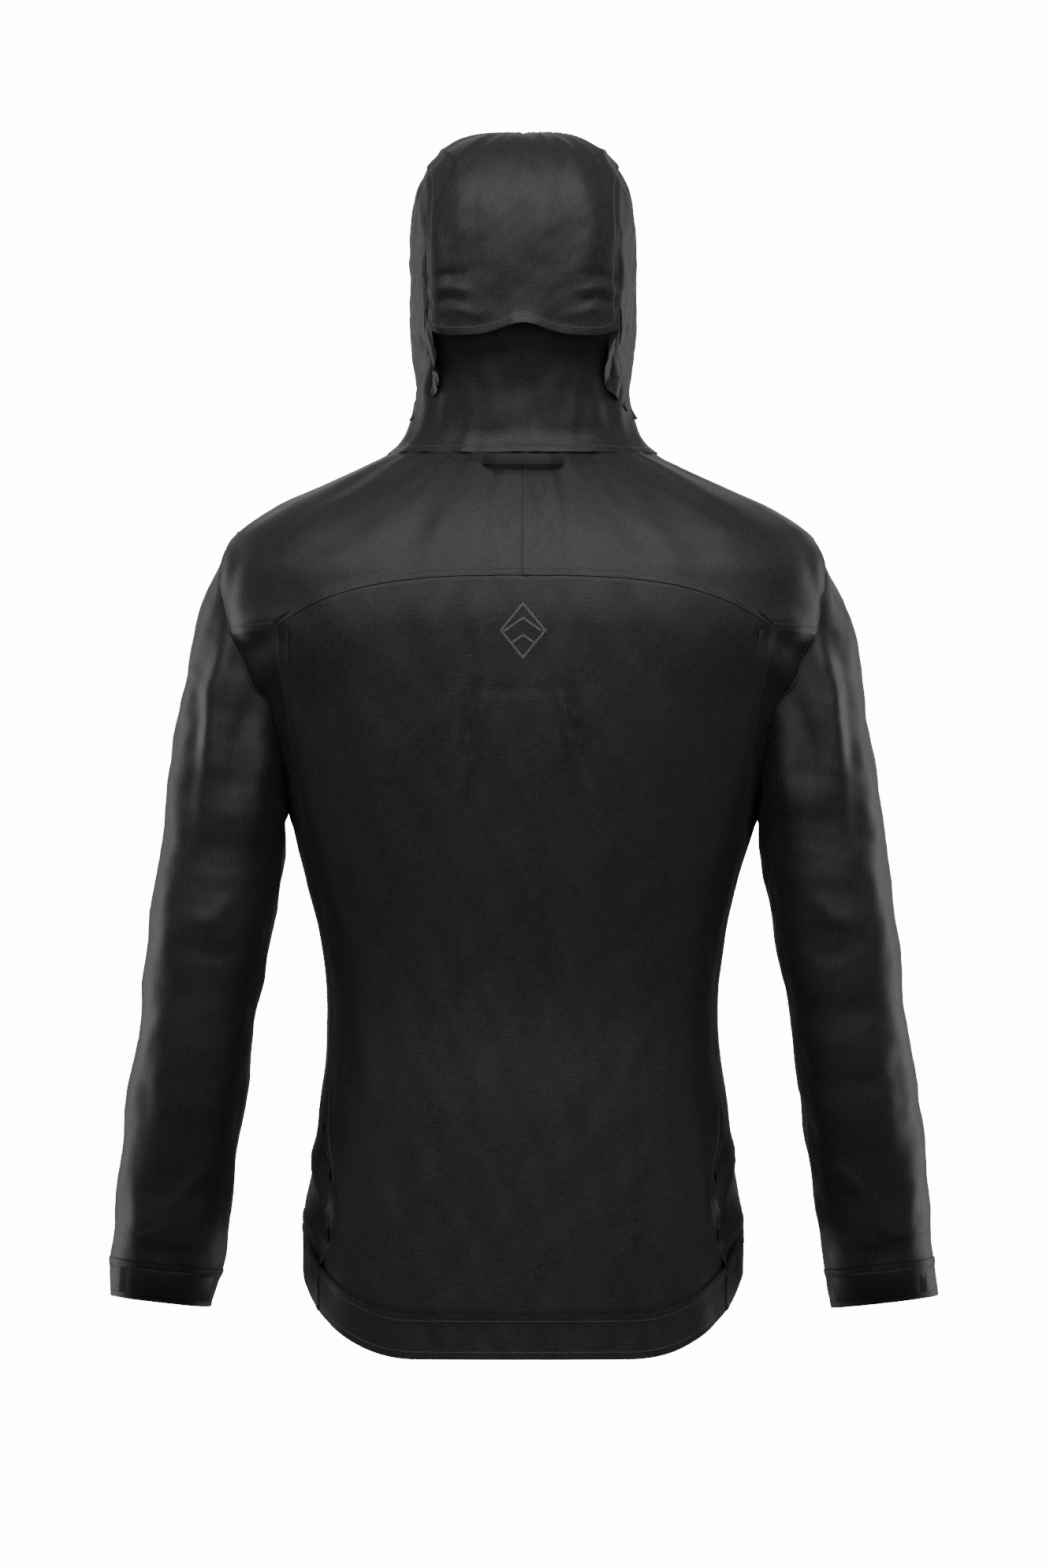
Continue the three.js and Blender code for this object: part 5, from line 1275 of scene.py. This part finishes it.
@dataclass
class Zips:
    """The front zip and the two pocket zips: tapes, moulded teeth, sliders and pullers."""

    pitch: float = 2.5  # mm between two teeth of one row

    def build(self) -> None:
        """Makes all the zips."""
        up = Vector((0, 0.03198, 0.99949))
        for word, side in SIDES:
            trim(f"front_zip_tape_{word}", TAPE, 0.15, 1)
            trim(f"front_zip_stop_{word}", CHAIN, 0.4)
            self.teeth(f"front_zip_chain_{word}", Vector((1, 0, 0)), up, (side,), True)
            self.pocket(word)
        for node, finish in (("front_zip_box", CHAIN), ("front_slider", METAL), ("front_puller", MOULDED)):
            trim(node, finish, 0.45, 3)
        sewn_in("front_zip_flap", LINING)

    def pocket(self, word: str) -> None:
        """Dresses a hand-pocket zip."""
        joints = {joint["name"]: joint for joint in frame["joints"]}
        up = Vector(joints[f"pocket_zip_{word}_run"]["axis"]).normalized()
        right = Vector(joints[f"pocket_puller_{word}_swing"]["axis"]).normalized()
        up *= 1 if up.z > 0 else -1
        right *= 1 if right.x > 0 else -1
        trim(f"pocket_zip_{word}", TAPE, 0.15, 1)
        self.teeth(f"pocket_zip_{word}", right, up, (1, -1), False)
        trim(f"pocket_slider_{word}", METAL, 0.4, 3)
        trim(f"pocket_puller_{word}", MOULDED, 0.4, 3)

    def teeth(self, node: str, right: Vector, up: Vector, rows: tuple, stands_for: bool) -> None:
        """Makes the teeth of a chain: small moulded blocks with a waist, one row a half pitch higher."""
        out = right.cross(up).normalized()
        place = np.array([v.co for v in frame["nodes"][node].data.vertices]) * 1000
        axes = np.array([right, up, out])
        low, high = (place @ axes.T).min(0), (place @ axes.T).max(0)
        middle = 0.0 if stands_for else (low[0] + high[0]) / 2
        deep = (low[2] + high[2]) / 2
        bm = bmesh.new()
        turn = Matrix([right, up, out]).transposed().to_4x4()
        first, last = low[1] + 8, high[1] - 8
        for row in rows:
            count = int((last - first) / self.pitch)
            for k in range(count):
                along = first + (k + (0.5 if row < 0 else 0)) * self.pitch
                for size, across in (((2.6, 1.15, 2.3), 2.0), ((0.7, 1.7, 1.7), 0.9)):
                    local = Matrix.Translation(((middle + row * across) * MM, along * MM, deep * MM))
                    scale = Matrix.Diagonal((*[s * MM for s in size], 1))
                    bmesh.ops.create_cube(bm, size=1.0, matrix=turn @ local @ scale)
        mesh = bpy.data.meshes.new("teeth_" + node)
        bm.to_mesh(mesh)
        bm.free()
        mesh.materials.append(CHAIN.material())
        piece = add_piece("teeth_" + node, mesh)
        round_ = piece.modifiers.new("edges", "BEVEL")
        round_.width = 0.22 * MM
        round_.segments = 1
        settle(piece, 0.9)
        attach(piece, "shell", (node,) if stands_for else ())


@dataclass
class Trims:
    """The hanger loop and the raised mark between the shoulders."""

    mark_height: float = 612.0
    mark_half: float = 24.0
    line: float = 2.5

    def build(self) -> None:
        """Makes the trims."""
        trim("hanger_loop", WEBBING, 0.35, 2)
        self.mark()

    def strokes(self) -> list:
        """Returns: the mark's strokes as runs of (x, height above its centre)."""
        half, wide = self.mark_half - 1.3, self.mark_half * 0.82 - 1.1
        made = [((0, -half), (wide, 0), (0, half), (-wide, 0), (0, -half))]
        for foot in (1, -9):
            reach = wide * (1 - abs(foot) / self.mark_half) - 2.6
            made.append(((-reach, foot - 1), (0, foot - 1 + reach * 0.7), (reach, foot - 1)))
        return made

    def mark(self) -> None:
        """Makes the mark, a rhombus with two chevrons, in rounded satin stitch."""
        bm = bmesh.new()
        for run in self.strokes():
            for a, b in zip(run, run[1:]):
                self.stroke(bm, np.array(a, float), np.array(b, float))
        mesh = bpy.data.meshes.new("emblem_thread")
        bm.to_mesh(mesh)
        bm.free()
        mesh.materials.append(THREAD.material())
        piece = add_piece("emblem_thread", mesh)
        settle(piece, 1.2)
        attach(piece, "shell", ("back_emblem",))

    def stroke(self, bm: bmesh.types.BMesh, a: Array, b: Array) -> None:
        """Adds one straight stroke, a closed half-round bar that follows the cloth."""
        length = float(np.linalg.norm(b - a))
        way = (b - a) / length
        made = bmesh.ops.create_cone(bm, cap_ends=True, segments=12, radius1=1, radius2=1, depth=1)
        bmesh.ops.subdivide_edges(
            bm, cuts=int(length / 1.5),
            edges=[e for e in {e for v in made["verts"] for e in v.link_edges}
                   if abs(e.verts[0].co.z - e.verts[1].co.z) > 0.5])
        bm.verts.ensure_lookup_table()
        for vert in [v for v in bm.verts if not v.tag]:
            vert.tag = True
            across, raised, along = vert.co
            aside = np.array([-way[1], way[0]]) * across * self.line / 2
            place = a + way * (along + 0.5) * (length + 0.8) + aside
            vert.co = Vector(on_back(place[0], self.mark_height + place[1], 0.15 + 0.55 * raised) * MM)
        bmesh.ops.recalc_face_normals(bm, faces=bm.faces)


def on_back(x: float, height: float, above: float) -> Array:
    """Returns: the point at this half width and height, above the back panel's folded cloth."""
    share = min(1.0, abs(x) / float(BODY.width(height)))
    angle = math.degrees(math.asin(share ** (float(BODY.square(height)) / 2))) * math.copysign(1, x)
    point, normal = BODY.skin(BODY.polar(pair(np.array(angle), np.array(height))))
    return point + normal * (above + float(back_relief(point)))


@dataclass
class Studio:
    """A plain pale room with soft light from the sides and above, and the camera behind the jacket."""

    distance: float = 10.0
    frame_height: float = 1.3333  # of the view at the jacket, m
    frame_centre: float = -0.2803
    floor: float = -1.55  # under a standing wearer
    lights: tuple = (
        # name, place, aimed at, size across and down (m), watts
        ("side_box_left", (1.9, -1.15, -0.4), (0, 0, -0.4), 0.8, 1.9, 14),
        ("side_box_right", (-1.9, -1.15, -0.4), (0, 0, -0.4), 0.8, 1.9, 14),
        ("top_box", (0, 0.7, 1.9), (0, 0, -0.1), 1.8, 1.0, 5),
        ("hood_box", (0, 1.35, 1.1), (0, 0.1, 0.2), 2.6, 0.4, 24),
        ("rear_fill", (0, 3.0, 0.6), (0, 0, -0.15), 5.0, 1.0, 19),
        ("front_fill", (0, -3.4, 0.9), (0, 0, -0.3), 3.0, 2.4, 22),
    )

    def build(self) -> None:
        """Makes the floor, the room's light, the lamps and the camera."""
        self.add_floor()
        self.add_world()
        for name, place, aim, across, down, watts in self.lights:
            lamp = bpy.data.lights.new(name, "AREA")
            lamp.shape, lamp.size, lamp.size_y, lamp.energy = "RECTANGLE", across, down, watts
            box = bpy.data.objects.new(name, lamp)
            box.visible_camera = False
            self.aimed(box, Vector(place), Vector(aim))
        lens = bpy.data.cameras.new("camera")
        lens.sensor_fit = "VERTICAL"
        lens.sensor_height = 36.0
        lens.lens = 36.0 * self.distance / self.frame_height
        camera = bpy.data.objects.new("camera", lens)
        centre = Vector((0, 0, self.frame_centre))
        self.aimed(camera, centre + Vector((0, self.distance, 0)), centre)
        bpy.context.scene.camera = camera

    def aimed(self, thing: bpy.types.Object, place: Vector, aim: Vector) -> None:
        """Puts a lamp or the camera in its place, looking at a point."""
        bpy.context.scene.collection.objects.link(thing)
        thing.location = place
        thing.rotation_euler = (aim - place).to_track_quat("-Z", "Y").to_euler()

    def add_floor(self) -> None:
        """Lays a matt pale floor."""
        bm = bmesh.new()
        bmesh.ops.create_grid(bm, x_segments=1, y_segments=1, size=5.0,
                              matrix=Matrix.Translation((0, 0, self.floor)))
        mesh = bpy.data.meshes.new("floor")
        bm.to_mesh(mesh)
        bm.free()
        paint = bpy.data.materials.new("floor_paint_matt")
        paint.use_nodes = True
        shader = paint.node_tree.nodes["Principled BSDF"]
        shader.inputs["Base Color"].default_value = linear("f2f2f1")
        shader.inputs["Roughness"].default_value = 0.8
        shader.inputs["Emission Color"].default_value = linear("ffffff")
        shader.inputs["Emission Strength"].default_value = 3.0
        mesh.materials.append(paint)
        floor = add_piece("floor", mesh)
        floor.visible_diffuse = floor.visible_glossy = False  # its glow stays off the cloth

    def add_world(self) -> None:
        """Makes the room: white to look at, and brighter from the sides and above than from behind."""
        world = bpy.data.worlds.new("room")
        bpy.context.scene.world = world
        world.use_nodes = True
        tree = world.node_tree
        tree.nodes.clear()
        way = add_node(tree, "SeparateXYZ", {0: add_node(tree, "TexCoord").outputs["Generated"]}).outputs
        aside = add_node(tree, "Math", {0: way[0], 1: 2.0}, operation="POWER")
        steep = add_node(tree, "Math", {0: aside.outputs[0], 1: 3.0}, operation="POWER")
        from_side = add_node(tree, "MapRange", {"Value": steep.outputs[0], "To Min": 0.14, "To Max": 0.4})
        from_top = add_node(tree, "MapRange", {
            "Value": way[2], "From Min": 0.1, "From Max": 1.0, "To Max": 0.22})
        total = add_node(tree, "Math", {0: from_side.outputs[0], 1: from_top.outputs[0]}, operation="ADD")
        room = add_node(tree, "Background", {"Color": (1, 1, 1, 1), "Strength": total.outputs[0]})
        seen = add_node(tree, "Background", {"Color": (1, 1, 1, 1), "Strength": 14.0})
        ray = add_node(tree, "LightPath").outputs["Is Camera Ray"]
        both = add_node(tree, "MixShader", {0: ray, 1: room.outputs[0], 2: seen.outputs[0]})
        add_node(tree, "OutputWorld", {"Surface": both.outputs[0]})


def main() -> None:
    """Builds the studio and the jacket."""
    logging.basicConfig(level=logging.INFO, format="%(name)s %(message)s")
    Studio().build()
    Torso().build()
    Hem().build()
    Hood().build()
    for word, side in SIDES:
        Sleeve(word, side).build()
    Zips().build()
    Trims().build()


if __name__ == "__main__":
    main()
